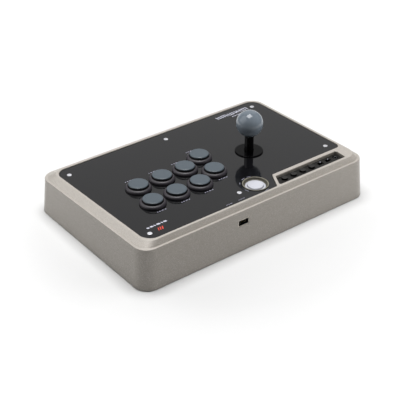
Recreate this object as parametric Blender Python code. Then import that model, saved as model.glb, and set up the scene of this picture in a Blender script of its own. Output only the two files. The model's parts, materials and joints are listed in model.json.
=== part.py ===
"""Arcade joystick panel: a desktop game controller with an eight-way ball-top lever,
eight 30 mm push buttons, a 24 mm home button and a small strip of option controls.

All sizes below are in millimetres, and add_object() turns them into metres.
The origin is on the ground under the middle of the case, +X is the player's right,
+Y points away from the player and +Z is up.

The case is a shallow wedge: its panel leans towards the player. Everything that hangs
from the panel is drawn square to it, in the panel's own frame, and then leaned by one
parent. The base, the feet and the main board are drawn from the ground.
"""

import math

import bmesh
import bpy
from mathutils import Matrix, Vector
from mathutils.geometry import interpolate_bezier

MM = 0.001
GAP = 0.3                      # clearance between pieces that touch
ROUND = 20                     # facets round a turned piece
FINE_ROUND = 24                # facets round the ball and its neighbours in the lever
SMALL_ROUND = 12               # facets round a small or hidden turned piece
CORNER_STEPS = 6               # steps in each rounded corner of an outline
SMOOTH_ANGLE = math.radians(35)

# Lean of the panel, and the place of its frame: x = y = 0 is the middle of the panel
TILT = math.radians(1.72)
CASE_CENTRE = (1.6, -1.4)      # middle of the case, seen from the middle of the panel
FRAME_PLACE = (-1.6, 1.5, -1.6)
PANEL_FRAME = Matrix.Translation(FRAME_PLACE) @ Matrix.Rotation(TILT, 4, "X")

# Heights from the ground
FOOT_HEIGHT = 1.7
CASE_BOTTOM = FOOT_HEIGHT + GAP
BASE_THICKNESS = 2.5
BASE_TOP = CASE_BOTTOM + BASE_THICKNESS

# Heights in the panel's frame
PANEL_TOP = 58.0
PANEL_THICKNESS = 3.0
PANEL_BOTTOM = PANEL_TOP - PANEL_THICKNESS
PLATE_THICKNESS = 1.5
PLATE_TOP = PANEL_BOTTOM - GAP
PLATE_BOTTOM = PLATE_TOP - PLATE_THICKNESS
SHELF_TOP = PLATE_BOTTOM - GAP
SHELF_THICKNESS = 3.0
CAVITY_TOP = SHELF_TOP - SHELF_THICKNESS
RIM_TOP = PANEL_TOP + 0.9

# Panel outline: a rounded rectangle with a notch at the back left for the option strip
PANEL_HALF_X = 164.9
PANEL_HALF_Y = 99.1
PANEL_RADIUS = 15.2
NOTCH_Y = 74.2
NOTCH_BACK_X = -31.5
NOTCH_FRONT_X = -45.0
SHELF_WIDTH = 22.0             # how far the case's shelf reaches under the panel

# Case section, bottom to top: (distance outside the panel's edge, height, corner radius).
# The lowest rows are measured from the ground, the others in the panel's frame.
CASE_FOOT_SECTION = (
    (15.5, CASE_BOTTOM, 18.6),
    (16.0, CASE_BOTTOM + 0.6, 18.8),
)
CASE_SECTION = (
    (12.6, 50.5, 18.0),
    (12.3, 52.6, 17.8),
    (11.9, 52.9, 17.6),
    (9.6, 52.9, 17.2),
    (4.2, 58.5, 16.9),
    (3.4, RIM_TOP, 16.7),
)
LEDGE_OUTSIDE = 9.6
RIM_OUTSIDE = 4.2
CAVITY_FOOT_SECTION = (
    (13.1, CASE_BOTTOM - 1.0, 16.0),
    (13.0, CASE_BOTTOM, 16.0),
)
CAVITY_SECTION = (
    (9.0, CAVITY_TOP - 1.5, 15.0),
    (7.2, CAVITY_TOP, 14.0),
)

# Fasteners
PANEL_SCREWS = (
    (153.4, -82.8), (2.1, -83.5), (-150.1, -85.5), (-150.7, 61.1), (14.3, 81.8), (153.0, 87.4),
)
CORNER_SCREWS = (0, 2, 3, 5)   # these sit over bosses that reach down to the base
SCREW_RADIUS = 1.5
SCREW_HEAD_RADIUS = 3.0
SCREW_HEAD_HEIGHT = 0.7
SCREW_TIP = 45.0
BOSS_RADIUS = 5.0
SHORT_BOSS_BOTTOM = 43.0
FOOT_PLACES = ((161.0, -98.0), (-161.0, -98.0), (-161.0, 98.0), (161.0, 98.0))
FOOT_RADIUS = 9.0

# 30 mm push buttons
BUTTON_PLACES = (
    (111.4, 36.5), (75.4, 36.5), (39.4, 36.5), (6.3, 23.3),
    (104.6, -2.6), (68.6, -2.6), (32.6, -2.6), (-0.5, -15.8),
)
BUTTON_RIM_RADIUS = 16.6
BUTTON_RIM_TOP = PANEL_TOP + 4.4
BUTTON_BARREL_RADIUS = 14.8
BUTTON_BORE_RADIUS = 12.9
BUTTON_FLOOR = 36.0
PLUNGER_RADIUS = 12.5
PLUNGER_TOP = PANEL_TOP + 7.7
PLUNGER_SKIRT = 48.0

# 24 mm home button in its funnel ring
HOME_PLACE = (-14.7, 78.2)
HOME_RING_RADIUS = 16.5
HOME_HOLE_RADIUS = 15.8
HOME_RIM_RADIUS = 13.0
HOME_RIM_TOP = 55.9
HOME_BARREL_RADIUS = 11.7
HOME_BORE_RADIUS = 10.2
HOME_FLOOR = 33.0
HOME_PLUNGER_RADIUS = 9.8
HOME_PLUNGER_TOP = 58.0

# Option strip in the back left corner
POCKET = ((-46.6, 80.2, 2.0), (-36.9, 98.3, 2.0), (-149.8, 98.3, 2.0), (-151.0, 80.2, 2.0))
POCKET_FLOOR = 53.0
WINDOW_INSET = 1.4
STRIP_THICKNESS = 1.7
STRIP_BOTTOM = POCKET_FLOOR + GAP
STRIP_TOP = STRIP_BOTTOM + STRIP_THICKNESS
STRIP_Y = 87.1
STRIP_BUTTON_X = (-55.2, -70.6, -86.0, -101.4)
STRIP_BUTTON_RADIUS = 4.1
STRIP_BUTTON_TOP = 57.3
STRIP_FLANGE_RADIUS = 5.0
STRIP_FLANGE_BOTTOM = 50.7
SLIDE_SWITCH_X = (-116.8, -130.2)
SLIDE_TRAVEL = 2.0
KNOB_HALF_X = 1.9
KNOB_HALF_Y = 1.6
JACK_X = -143.4
JACK_RADIUS = 3.6
JACK_BORE_RADIUS = 1.8
JACK_BOTTOM = 40.0

# USB socket in the back wall
USB_X = 31.5
USB_Z = 37.1
USB_HALF_X = 7.2
USB_HALF_Z = 3.35
USB_MOUTH_Y = 110.5
USB_BACK_Y = 94.5
USB_OPENING_HALF_X = 6.25
USB_OPENING_HALF_Z = 2.55

# Lever unit
LEVER = (-63.6, 8.8)
PIVOT_Z = 36.0
BALL_Z = PANEL_TOP + 40.1
BALL_RADIUS = 17.5
SHAFT_RADIUS = 4.6
SHAFT_BOTTOM = 9.0
COVER_RADIUS = 5.9
SLEEVE_BORE_RADIUS = SHAFT_RADIUS + GAP
LEVER_HOLE_RADIUS = 12.0
PIVOT_RADIUS = 8.0
PIVOT_HALF_HEIGHT = 6.0
GIMBAL_INNER_RADIUS = PIVOT_RADIUS + GAP
GIMBAL_OUTER_RADIUS = 11.5
GIMBAL_HALF_HEIGHT = 4.0
SOCKET_RADIUS = GIMBAL_OUTER_RADIUS + GAP
STICK_PLATE_TOP = PLATE_BOTTOM - GAP
STICK_PLATE_BOTTOM = STICK_PLATE_TOP - 1.6
STICK_BODY_TOP = STICK_PLATE_BOTTOM - GAP
STICK_BODY_BOTTOM = 27.3
STICK_BODY_HALF = 32.0
SWITCH_BOARD_TOP = STICK_BODY_BOTTOM - GAP
SWITCH_BOARD_BOTTOM = SWITCH_BOARD_TOP - 1.6
SWITCH_FACE = 12.0             # from the lever's axis to each microswitch
SWITCH_BOTTOM = 15.4
GATE_BOTTOM = 10.0
GATE_TOP = 13.0
GATE_OPENING_HALF = 11.2
STUD_X = 42.0
STUD_Y = 22.0
STUD_RADIUS = 2.0
SPRING_RADIUS = 7.2
SPRING_WIRE_RADIUS = 0.7
SPRING_TURNS = 3.5
SPRING_BOTTOM = 21.3
SPRING_TOP = 28.9
ACTUATOR_TOP = 20.3
ACTUATOR_BOTTOM = 11.5
CLIP_BOTTOM = 10.2
CLIP_TOP = 11.2
CLIP_GROOVE_RADIUS = 3.4
CLIP_OUTER_RADIUS = 6.6
WASHER_RADIUS = 18.5
WASHER_HOLE_RADIUS = 6.4
WASHER_THICKNESS = 1.2
INNER_WASHER_RADIUS = 16.5
INNER_WASHER_THICKNESS = 1.3
INNER_SLOT_HALF_X = 7.5
INNER_SLOT_HALF_Y = 9.5

# Circuit boards: the main one on the base, and one under the strip
BOARD_THICKNESS = 1.6
MAIN_BOARD = ((50.0, -80.0), (140.0, -25.0))
MAIN_BOARD_BOTTOM = 8.5        # from the ground
MAIN_BOARD_CHIPS = (           # (x, y, half x, half y, height)
    (95.0, -53.0, 7.0, 7.0, 1.6), (116.0, -54.0, 4.0, 4.0, 1.4), (55.0, -41.0, 3.0, 9.0, 6.0),
    (74.0, -31.0, 10.0, 3.0, 6.0), (95.0, -75.0, 35.0, 3.0, 6.0),
)
STRIP_BOARD = ((-136.0, 80.6), (-48.0, 99.8))
STRIP_BOARD_BOTTOM = 44.0
STRIP_BOARD_TOP = STRIP_BOARD_BOTTOM + BOARD_THICKNESS
STRIP_POSTS = ((-62.9, 98.7), (-109.1, 98.7))
TACT_SWITCH_TOP = 49.2
SLIDE_SWITCH_TOP = 49.8
HARNESS_RADIUS = 1.4


# ---------------------------------------------------------------- frames

def from_ground(x, y, height):
    """A point given from the ground, in the panel's frame."""
    return PANEL_FRAME.inverted() @ Vector((x, y, height))


def height_over_base(y, height):
    """Height in the panel's frame, at its own y, of a level at some height over the ground."""
    return (height - FRAME_PLACE[2] - y * math.sin(TILT)) / math.cos(TILT)


def lean_everything():
    """Lean every piece made so far with the panel, through one parent."""
    pieces = list(bpy.context.collection.objects)
    lean = bpy.data.objects.new("panel_frame", None)
    lean.location = [value * MM for value in FRAME_PLACE]
    lean.rotation_euler = (TILT, 0.0, 0.0)
    bpy.context.collection.objects.link(lean)
    for piece in pieces:
        piece.parent = lean


# ---------------------------------------------------------------- mesh tools

def fillet_outline(corners, steps=CORNER_STEPS):
    """Anticlockwise outline through (x, y, radius) corners, each rounded by an arc."""
    points = []
    for index, (x, y, radius) in enumerate(corners):
        corner = Vector((x, y))
        before = (Vector(corners[index - 1][:2]) - corner).normalized()
        after = (Vector(corners[(index + 1) % len(corners)][:2]) - corner).normalized()
        half = before.angle(after) / 2
        reach = radius / math.tan(half)
        centre = corner + (before + after).normalized() * radius / math.sin(half)
        start = corner + before * reach - centre
        end = corner + after * reach - centre
        first = math.atan2(start.y, start.x)
        sweep = (math.atan2(end.y, end.x) - first + math.pi) % math.tau - math.pi
        for step in range(steps + 1):
            angle = first + sweep * step / steps
            points.append((centre.x + radius * math.cos(angle), centre.y + radius * math.sin(angle)))
    return points


def grown(corners, distance):
    """The same corners with every edge moved outwards, and the radii to suit."""
    result = []
    for index, (x, y, radius) in enumerate(corners):
        corner = Vector((x, y))
        into = (corner - Vector(corners[index - 1][:2])).normalized()
        out = (Vector(corners[(index + 1) % len(corners)][:2]) - corner).normalized()
        normals = Vector((into.y, -into.x)), Vector((out.y, -out.x))
        moved = corner + distance * (normals[0] + normals[1]) / (1 + normals[0].dot(normals[1]))
        convex = into.cross(out) > 0
        new_radius = radius + distance if convex else radius - distance
        result.append((moved.x, moved.y, max(new_radius, 0.4)))
    return result


def rectangle(half_x, half_y, radius, centre=(0.0, 0.0)):
    """Corners of a rounded rectangle, anticlockwise from the front left."""
    signs = ((-1, -1), (1, -1), (1, 1), (-1, 1))
    return [(centre[0] + half_x * sx, centre[1] + half_y * sy, radius) for sx, sy in signs]


def circle(radius, centre=(0.0, 0.0), segments=ROUND):
    """Points of a circle."""
    angles = [math.tau * step / segments for step in range(segments)]
    return [(centre[0] + radius * math.cos(a), centre[1] + radius * math.sin(a)) for a in angles]


def face_outwards(mesh):
    """Turn every face of a closed mesh to point out."""
    bmesh.ops.recalc_face_normals(mesh, faces=mesh.faces[:])
    return mesh


def plate(outline, low, high, holes=()):
    """Flat plate between two heights, with holes through it."""
    mesh = bmesh.new()
    for loop in (outline, *holes):
        corners = [mesh.verts.new((x, y, low)) for x, y in loop]
        for start, end in zip(corners, corners[1:] + corners[:1]):
            mesh.edges.new((start, end))
    bmesh.ops.triangle_fill(mesh, use_beauty=True, edges=mesh.edges[:])
    lifted = bmesh.ops.extrude_face_region(mesh, geom=mesh.faces[:])
    top = [item for item in lifted["geom"] if isinstance(item, bmesh.types.BMVert)]
    bmesh.ops.translate(mesh, verts=top, vec=(0, 0, high - low))
    return face_outwards(mesh)


def loft(loops):
    """Closed solid through loops with equal numbers of points."""
    mesh = bmesh.new()
    rings = [[mesh.verts.new(point) for point in loop] for loop in loops]
    for lower, upper in zip(rings, rings[1:]):
        for index in range(len(lower)):
            mesh.faces.new((lower[index - 1], lower[index], upper[index], upper[index - 1]))
    mesh.faces.new(rings[0])
    mesh.faces.new(rings[-1])
    return face_outwards(mesh)


def turned(profile, segments=ROUND, centre=(0.0, 0.0)):
    """Solid turned about a vertical axis from (radius, height) points.

    A profile that starts and ends on the axis is a full body. Any other is closed
    into a ring.
    """
    mesh = bmesh.new()
    points = [mesh.verts.new((radius, 0, height)) for radius, height in profile]
    following = points[1:]
    if profile[0][0] > 0:
        following = points[1:] + points[:1]
    edges = [mesh.edges.new(pair) for pair in zip(points, following)]
    bmesh.ops.spin(mesh, geom=points + edges, cent=(0, 0, 0), axis=(0, 0, 1),
                   angle=math.tau, steps=segments, use_merge=True)
    bmesh.ops.remove_doubles(mesh, verts=mesh.verts[:], dist=1e-4)
    bmesh.ops.translate(mesh, verts=mesh.verts[:], vec=(centre[0], centre[1], 0))
    return face_outwards(mesh)


def cylinder(radius, low, high, centre=(0.0, 0.0), segments=SMALL_ROUND):
    """Upright cylinder."""
    return plate(circle(radius, centre, segments), low, high)


def box(low, high):
    """Box between two opposite corners."""
    mesh = bmesh.new()
    bmesh.ops.create_cube(mesh, size=1.0)
    size = [b - a for a, b in zip(low, high)]
    middle = [(a + b) / 2 for a, b in zip(low, high)]
    bmesh.ops.scale(mesh, verts=mesh.verts[:], vec=size)
    bmesh.ops.translate(mesh, verts=mesh.verts[:], vec=middle)
    return mesh


def temporary_object(mesh):
    """Scene object that holds a mesh for a Boolean."""
    data = bpy.data.meshes.new("temporary")
    mesh.to_mesh(data)
    mesh.free()
    holder = bpy.data.objects.new("temporary", data)
    bpy.context.collection.objects.link(holder)
    return holder


def combine(body, others, operation):
    """Body joined with, or cut by, each of the other solids."""
    target = temporary_object(body)
    helpers = [temporary_object(other) for other in others]
    for helper in helpers:
        step = target.modifiers.new("step", "BOOLEAN")
        step.operation = operation
        step.solver = "EXACT"
        step.object = helper
    result = bmesh.new()
    result.from_object(target, bpy.context.evaluated_depsgraph_get())
    for holder in [target, *helpers]:
        data = holder.data
        bpy.data.objects.remove(holder)
        bpy.data.meshes.remove(data)
    return result


def cut(body, *tools):
    """Body with the tools cut away."""
    return combine(body, tools, "DIFFERENCE")


def join(body, *additions):
    """Body and additions as one solid."""
    return combine(body, additions, "UNION")


def add_object(name, mesh, material, origin=(0.0, 0.0, 0.0)):
    """Finished piece from a mesh in millimetres, with its origin where its joint is."""
    bmesh.ops.translate(mesh, verts=mesh.verts[:], vec=[-value for value in origin])
    bmesh.ops.scale(mesh, verts=mesh.verts[:], vec=(MM, MM, MM))
    data = bpy.data.meshes.new(name)
    mesh.to_mesh(data)
    mesh.free()
    data.shade_smooth()
    data.set_sharp_from_angle(angle=SMOOTH_ANGLE)
    return place_mesh(name, data, material, origin)


def place_mesh(name, data, material, origin):
    """Object that shows a mesh at a place in millimetres."""
    piece = bpy.data.objects.new(name, data)
    if not data.materials:
        data.materials.append(material)
    piece.location = [value * MM for value in origin]
    bpy.context.collection.objects.link(piece)
    return piece


def repeat_object(prefix, mesh, material, origins):
    """Copies of one piece, each an object of its own, numbered from 1."""
    pattern = add_object(f"{prefix}_1", mesh, material)
    pattern.location = [value * MM for value in origins[0]]
    for number, origin in enumerate(origins[1:], start=2):
        place_mesh(f"{prefix}_{number}", pattern.data, material, origin)


# ---------------------------------------------------------------- materials

def linear(value):
    """Linear value of an sRGB channel from 0 to 255."""
    value /= 255
    return value / 12.92 if value <= 0.04045 else ((value + 0.055) / 1.055) ** 2.4


def make_material(name, colour, roughness, metallic):
    """Principled material from an sRGB colour."""
    material = bpy.data.materials.new(name)
    material.use_nodes = True
    shader = material.node_tree.nodes["Principled BSDF"]
    shader.inputs["Base Color"].default_value = [linear(channel) for channel in colour] + [1.0]
    shader.inputs["Roughness"].default_value = roughness
    shader.inputs["Metallic"].default_value = metallic
    return material


def make_materials():
    """Every material, by name."""
    table = {
        "case_paint": ((186, 178, 170), 0.42, 0.35),
        "panel_acrylic": ((58, 59, 62), 0.08, 0.0),
        "steel": ((150, 152, 155), 0.35, 1.0),
        "bright_steel": ((225, 226, 228), 0.2, 1.0),
        "button_rim": ((38, 38, 41), 0.4, 0.0),
        "button_grey": ((98, 108, 116), 0.3, 0.0),
        "black_plastic": ((16, 16, 17), 0.35, 0.0),
        "dark_strip": ((56, 54, 52), 0.5, 0.0),
        "home_ring": ((178, 174, 160), 0.3, 0.6),
        "home_white": ((238, 238, 242), 0.25, 0.0),
        "nylon": ((222, 218, 205), 0.45, 0.0),
        "rubber": ((30, 30, 31), 0.85, 0.0),
        "circuit_board": ((28, 84, 52), 0.45, 0.0),
        "wire": ((92, 24, 22), 0.5, 0.0),
    }
    return {name: make_material(name, *look) for name, look in table.items()}


# ---------------------------------------------------------------- case

def panel_corners():
    """Corners of the panel, anticlockwise from the front left."""
    return [
        (-PANEL_HALF_X, -PANEL_HALF_Y, PANEL_RADIUS),
        (PANEL_HALF_X, -PANEL_HALF_Y, PANEL_RADIUS),
        (PANEL_HALF_X, PANEL_HALF_Y, PANEL_RADIUS),
        (NOTCH_BACK_X, PANEL_HALF_Y, 2.0),
        (NOTCH_FRONT_X, NOTCH_Y, 4.0),
        (-PANEL_HALF_X, NOTCH_Y, 8.0),
    ]


def case_outline(outside, radius):
    """Rounded rectangle some distance outside the panel.

    The rim keeps the panel's middle. From the ledge out, the middle is the case's.
    """
    share = min(max((outside - RIM_OUTSIDE) / (LEDGE_OUTSIDE - RIM_OUTSIDE), 0.0), 1.0)
    centre = (CASE_CENTRE[0] * share, CASE_CENTRE[1] * share)
    return fillet_outline(rectangle(PANEL_HALF_X + outside, PANEL_HALF_Y + outside, radius, centre))


def case_loops(foot_section, section):
    """Loops up a section: level with the ground at the foot, square to the panel above."""
    loops = []
    for outside, height, radius in foot_section:
        outline = case_outline(outside, radius)
        loops.append([(x, y, height_over_base(y, height)) for x, y in outline])
    for outside, height, radius in section:
        loops.append([(x, y, height) for x, y in case_outline(outside, radius)])
    return loops


def pocket_outline(distance):
    """Outline of the strip's pocket, grown by a distance."""
    return fillet_outline(grown(list(POCKET), distance), steps=3)


def case_bosses():
    """Screw bosses under the shelf, and posts for the strip's board."""
    bosses = []
    for index, place in enumerate(PANEL_SCREWS):
        over_base = height_over_base(place[1], BASE_TOP + 2 * GAP)
        bottom = over_base if index in CORNER_SCREWS else SHORT_BOSS_BOTTOM
        bosses.append(cylinder(BOSS_RADIUS, bottom, SHELF_TOP - 1.0, place))
    for place in STRIP_POSTS:
        bosses.append(cylinder(1.5, STRIP_BOARD_TOP + GAP, CAVITY_TOP + 1.0, place, 8))
    return bosses


def add_top_housing(materials):
    """Moulded upper case: walls, shoulder, panel recess, strip pocket and socket window."""
    above = RIM_TOP + 2.0
    below = CAVITY_TOP - 2.0
    recess = plate(fillet_outline(grown(panel_corners(), GAP)), SHELF_TOP, above)
    opening = plate(fillet_outline(grown(panel_corners(), -SHELF_WIDTH)), below, above)
    pocket = plate(pocket_outline(0.0), POCKET_FLOOR, above)
    window = plate(pocket_outline(-WINDOW_INSET), below, above)
    home = cylinder(HOME_BARREL_RADIUS + 1.5, below, above, HOME_PLACE, 16)
    socket = box((USB_X - USB_HALF_X - GAP, USB_BACK_Y, USB_Z - USB_HALF_Z - GAP),
                 (USB_X + USB_HALF_X + GAP, USB_MOUTH_Y + 5.0, USB_Z + USB_HALF_Z + GAP))
    shell = cut(loft(case_loops(CASE_FOOT_SECTION, CASE_SECTION)),
                loft(case_loops(CAVITY_FOOT_SECTION, CAVITY_SECTION)))
    shell = join(shell, *case_bosses())
    screws = [cylinder(SCREW_RADIUS + GAP, SCREW_TIP - GAP, above, place, 8) for place in PANEL_SCREWS]
    shell = cut(shell, recess, opening, pocket, window, home, socket, *screws)
    add_object("top_housing", shell, materials["case_paint"])


def add_base_plate(materials):
    """Flat base that closes the case, with posts under the main board."""
    outside, height, radius = CAVITY_FOOT_SECTION[1]
    outside -= 2.5 * GAP       # the walls lean in a little over the base's edge
    corners = rectangle(PANEL_HALF_X + outside, PANEL_HALF_Y + outside, radius)
    holes = []
    for index in CORNER_SCREWS:
        x, y = PANEL_SCREWS[index]
        place = PANEL_FRAME @ Vector((x, y, height_over_base(y, height)))
        holes.append(circle(2.0, place[:2], 8))
    base = plate(fillet_outline(corners), CASE_BOTTOM, BASE_TOP, holes)
    (x0, y0), (x1, y1) = MAIN_BOARD
    inset = 6.0
    posts = []
    for x in (x0 + inset, x1 - inset):
        for y in (y0 + inset, y1 - inset):
            posts.append(cylinder(2.5, BASE_TOP - 1.0, MAIN_BOARD_BOTTOM - GAP, (x, y), 8))
    add_object("base_plate", join(base, *posts), materials["black_plastic"])


def add_feet(materials):
    """Round rubber feet."""
    foot = turned([(0, 0), (FOOT_RADIUS - 0.5, 0), (FOOT_RADIUS, 0.6), (FOOT_RADIUS, FOOT_HEIGHT),
                   (0, FOOT_HEIGHT)])
    repeat_object("foot", foot, materials["rubber"], [(x, y, 0.0) for x, y in FOOT_PLACES])


def add_panel_cover(materials):
    """Clear-topped dark panel with every hole that the controls need."""
    holes = [circle(BUTTON_BARREL_RADIUS + GAP, place) for place in BUTTON_PLACES]
    holes.append(circle(HOME_HOLE_RADIUS, HOME_PLACE))
    holes.append(circle(LEVER_HOLE_RADIUS, LEVER))
    holes += [circle(SCREW_RADIUS + GAP, place, 8) for place in PANEL_SCREWS]
    panel = plate(fillet_outline(panel_corners()), PANEL_BOTTOM, PANEL_TOP, holes)
    add_object("panel_cover", panel, materials["panel_acrylic"])


def add_mounting_plate(materials):
    """Steel plate under the panel, with four studs that hold the lever unit."""
    ease = 1.0                 # the barrels stand clear of the steel
    holes = [circle(BUTTON_BARREL_RADIUS + ease, place, 14) for place in BUTTON_PLACES]
    holes.append(circle(HOME_BARREL_RADIUS + ease, HOME_PLACE, 14))
    holes.append(circle(LEVER_HOLE_RADIUS, LEVER, 16))
    holes += [circle(SCREW_RADIUS + GAP, place, 8) for place in PANEL_SCREWS]
    steel = plate(fillet_outline(panel_corners()), PLATE_BOTTOM, PLATE_TOP, holes)
    studs = [cylinder(STUD_RADIUS, STICK_PLATE_BOTTOM - 3.0, PLATE_TOP - 0.5, place, 8)
             for place in stud_places()]
    add_object("mounting_plate", join(steel, *studs), materials["steel"])


def add_panel_screws(materials):
    """Flat-headed screws that hold the panel and the steel plate to the case."""
    head = PANEL_TOP + GAP
    profile = [
        (0, SCREW_TIP), (SCREW_RADIUS, SCREW_TIP + 1.5), (SCREW_RADIUS, head), (SCREW_HEAD_RADIUS, head),
        (SCREW_HEAD_RADIUS - 0.3, head + SCREW_HEAD_HEIGHT * 0.6), (0, head + SCREW_HEAD_HEIGHT),
    ]
    places = [(x, y, 0.0) for x, y in PANEL_SCREWS]
    repeat_object("panel_screw", turned(profile, SMALL_ROUND), materials["bright_steel"], places)


# ---------------------------------------------------------------- buttons

def add_buttons(materials):
    """Eight snap-in buttons: a housing with its microswitch, and a plunger that slides in it."""
    bore = BUTTON_BORE_RADIUS
    rim = BUTTON_RIM_RADIUS
    top = BUTTON_RIM_TOP
    housing = turned([
        (0, BUTTON_FLOOR + 2), (bore, BUTTON_FLOOR + 2), (bore, top - 0.7), (bore + 0.8, top),
        (rim - 1.6, top - 0.6), (rim, top - 2.4), (rim, PANEL_TOP + GAP),
        (BUTTON_BARREL_RADIUS, PANEL_TOP + GAP), (BUTTON_BARREL_RADIUS, BUTTON_FLOOR), (0, BUTTON_FLOOR),
    ])
    microswitch = box((-6.4, -3.0, BUTTON_FLOOR - 6.5), (6.4, 3.0, BUTTON_FLOOR + 1.0))
    plunger = turned([
        (0, PLUNGER_TOP), (PLUNGER_RADIUS - 0.9, PLUNGER_TOP), (PLUNGER_RADIUS, PLUNGER_TOP - 0.9),
        (PLUNGER_RADIUS, PLUNGER_SKIRT), (PLUNGER_RADIUS - 1.5, PLUNGER_SKIRT),
        (PLUNGER_RADIUS - 1.5, PLUNGER_TOP - 2.2), (0, PLUNGER_TOP - 2.2),
    ])
    places = [(x, y, 0.0) for x, y in BUTTON_PLACES]
    repeat_object("button_housing", join(housing, microswitch), materials["button_rim"], places)
    repeat_object("button_plunger", plunger, materials["button_grey"], places)


def add_home_button(materials):
    """Funnel ring, white housing and white plunger of the home button."""
    ring = turned([
        (HOME_RING_RADIUS, PANEL_TOP + GAP), (HOME_RING_RADIUS - 0.3, PANEL_TOP + 0.9),
        (HOME_RING_RADIUS - 1.0, PANEL_TOP + 1.1), (HOME_RIM_RADIUS + 0.7, 56.4),
        (HOME_RIM_RADIUS + GAP, PANEL_BOTTOM + GAP), (HOME_HOLE_RADIUS - GAP, PANEL_BOTTOM + GAP),
        (HOME_HOLE_RADIUS - GAP, PANEL_TOP + GAP),
    ], centre=HOME_PLACE)
    add_object("home_bezel", ring, materials["home_ring"], (*HOME_PLACE, 0.0))
    bore = HOME_BORE_RADIUS
    housing = turned([
        (0, HOME_FLOOR + 2), (bore, HOME_FLOOR + 2), (bore, HOME_RIM_TOP),
        (HOME_RIM_RADIUS - 0.8, HOME_RIM_TOP), (HOME_RIM_RADIUS, HOME_RIM_TOP - 0.8),
        (HOME_RIM_RADIUS, PLATE_TOP + GAP),
        (HOME_BARREL_RADIUS, PLATE_TOP + GAP), (HOME_BARREL_RADIUS, HOME_FLOOR), (0, HOME_FLOOR),
    ], centre=HOME_PLACE)
    x, y = HOME_PLACE
    microswitch = box((x - 6.4, y - 3.0, HOME_FLOOR - 6.5), (x + 6.4, y + 3.0, HOME_FLOOR + 1.0))
    add_object("home_housing", join(housing, microswitch), materials["home_white"], (*HOME_PLACE, 0.0))
    plunger = turned([
        (0, HOME_PLUNGER_TOP), (HOME_PLUNGER_RADIUS - 1.0, HOME_PLUNGER_TOP - 0.3),
        (HOME_PLUNGER_RADIUS, HOME_PLUNGER_TOP - 1.1), (HOME_PLUNGER_RADIUS, 44.0), (0, 44.0),
    ], centre=HOME_PLACE)
    add_object("home_plunger", plunger, materials["home_white"], (*HOME_PLACE, 0.0))


# ---------------------------------------------------------------- option strip and sockets

def add_option_strip(materials):
    """Recessed strip with four round buttons, two slide switches and a headset jack."""
    reach = KNOB_HALF_X + SLIDE_TRAVEL + GAP
    holes = [circle(STRIP_BUTTON_RADIUS + GAP, (x, STRIP_Y), SMALL_ROUND) for x in STRIP_BUTTON_X]
    holes.append(circle(JACK_RADIUS + GAP, (JACK_X, STRIP_Y), SMALL_ROUND))
    for x in SLIDE_SWITCH_X:
        holes.append(fillet_outline(rectangle(reach, KNOB_HALF_Y + GAP, 0.5, (x, STRIP_Y)), steps=1))
    strip = plate(pocket_outline(-GAP), STRIP_BOTTOM, STRIP_TOP, holes)
    add_object("strip_panel", strip, materials["dark_strip"])

    button = turned([
        (0, STRIP_BUTTON_TOP), (STRIP_BUTTON_RADIUS - 0.5, STRIP_BUTTON_TOP),
        (STRIP_BUTTON_RADIUS, STRIP_BUTTON_TOP - 0.5), (STRIP_BUTTON_RADIUS, STRIP_BOTTOM - 1.0),
        (STRIP_FLANGE_RADIUS, STRIP_BOTTOM - 1.0), (STRIP_FLANGE_RADIUS, STRIP_FLANGE_BOTTOM),
        (0, STRIP_FLANGE_BOTTOM),
    ], SMALL_ROUND)
    places = [(x, STRIP_Y, 0.0) for x in STRIP_BUTTON_X]
    repeat_object("strip_button", button, materials["black_plastic"], places)

    stem = box((-KNOB_HALF_X, -KNOB_HALF_Y, STRIP_FLANGE_BOTTOM + 0.5),
               (KNOB_HALF_X, KNOB_HALF_Y, STRIP_TOP + 1.6))
    foot = box((-KNOB_HALF_X - 1.2, -KNOB_HALF_Y - 1.2, STRIP_FLANGE_BOTTOM),
               (KNOB_HALF_X + 1.2, KNOB_HALF_Y + 1.2, STRIP_FLANGE_BOTTOM + 1.4))
    repeat_object("slide_switch_knob", join(stem, foot), materials["black_plastic"],
                  [(x, STRIP_Y, 0.0) for x in SLIDE_SWITCH_X])

    jack = turned([
        (0, JACK_BOTTOM), (JACK_RADIUS + 0.8, JACK_BOTTOM), (JACK_RADIUS + 0.8, STRIP_BOTTOM - GAP),
        (JACK_RADIUS, STRIP_BOTTOM - GAP), (JACK_RADIUS, STRIP_TOP + 0.5),
        (JACK_BORE_RADIUS, STRIP_TOP + 0.5), (JACK_BORE_RADIUS, JACK_BOTTOM + 1.5), (0, JACK_BOTTOM + 1.5),
    ], 16, (JACK_X, STRIP_Y))
    add_object("headset_jack", jack, materials["black_plastic"])


def add_strip_board(materials):
    """Small circuit board under the strip, with its tact switches and slide switches."""
    (x0, y0), (x1, y1) = STRIP_BOARD
    board = box((x0, y0, STRIP_BOARD_BOTTOM), (x1, y1, STRIP_BOARD_TOP))
    sunk = STRIP_BOARD_TOP - 0.5
    parts = []
    for x in STRIP_BUTTON_X:
        parts.append(box((x - 3, STRIP_Y - 3, sunk), (x + 3, STRIP_Y + 3, TACT_SWITCH_TOP)))
    for x in SLIDE_SWITCH_X:
        parts.append(box((x - 4.4, STRIP_Y - 2.5, sunk), (x + 4.4, STRIP_Y + 2.5, SLIDE_SWITCH_TOP)))
    add_object("strip_board", join(board, *parts), materials["circuit_board"])


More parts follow.
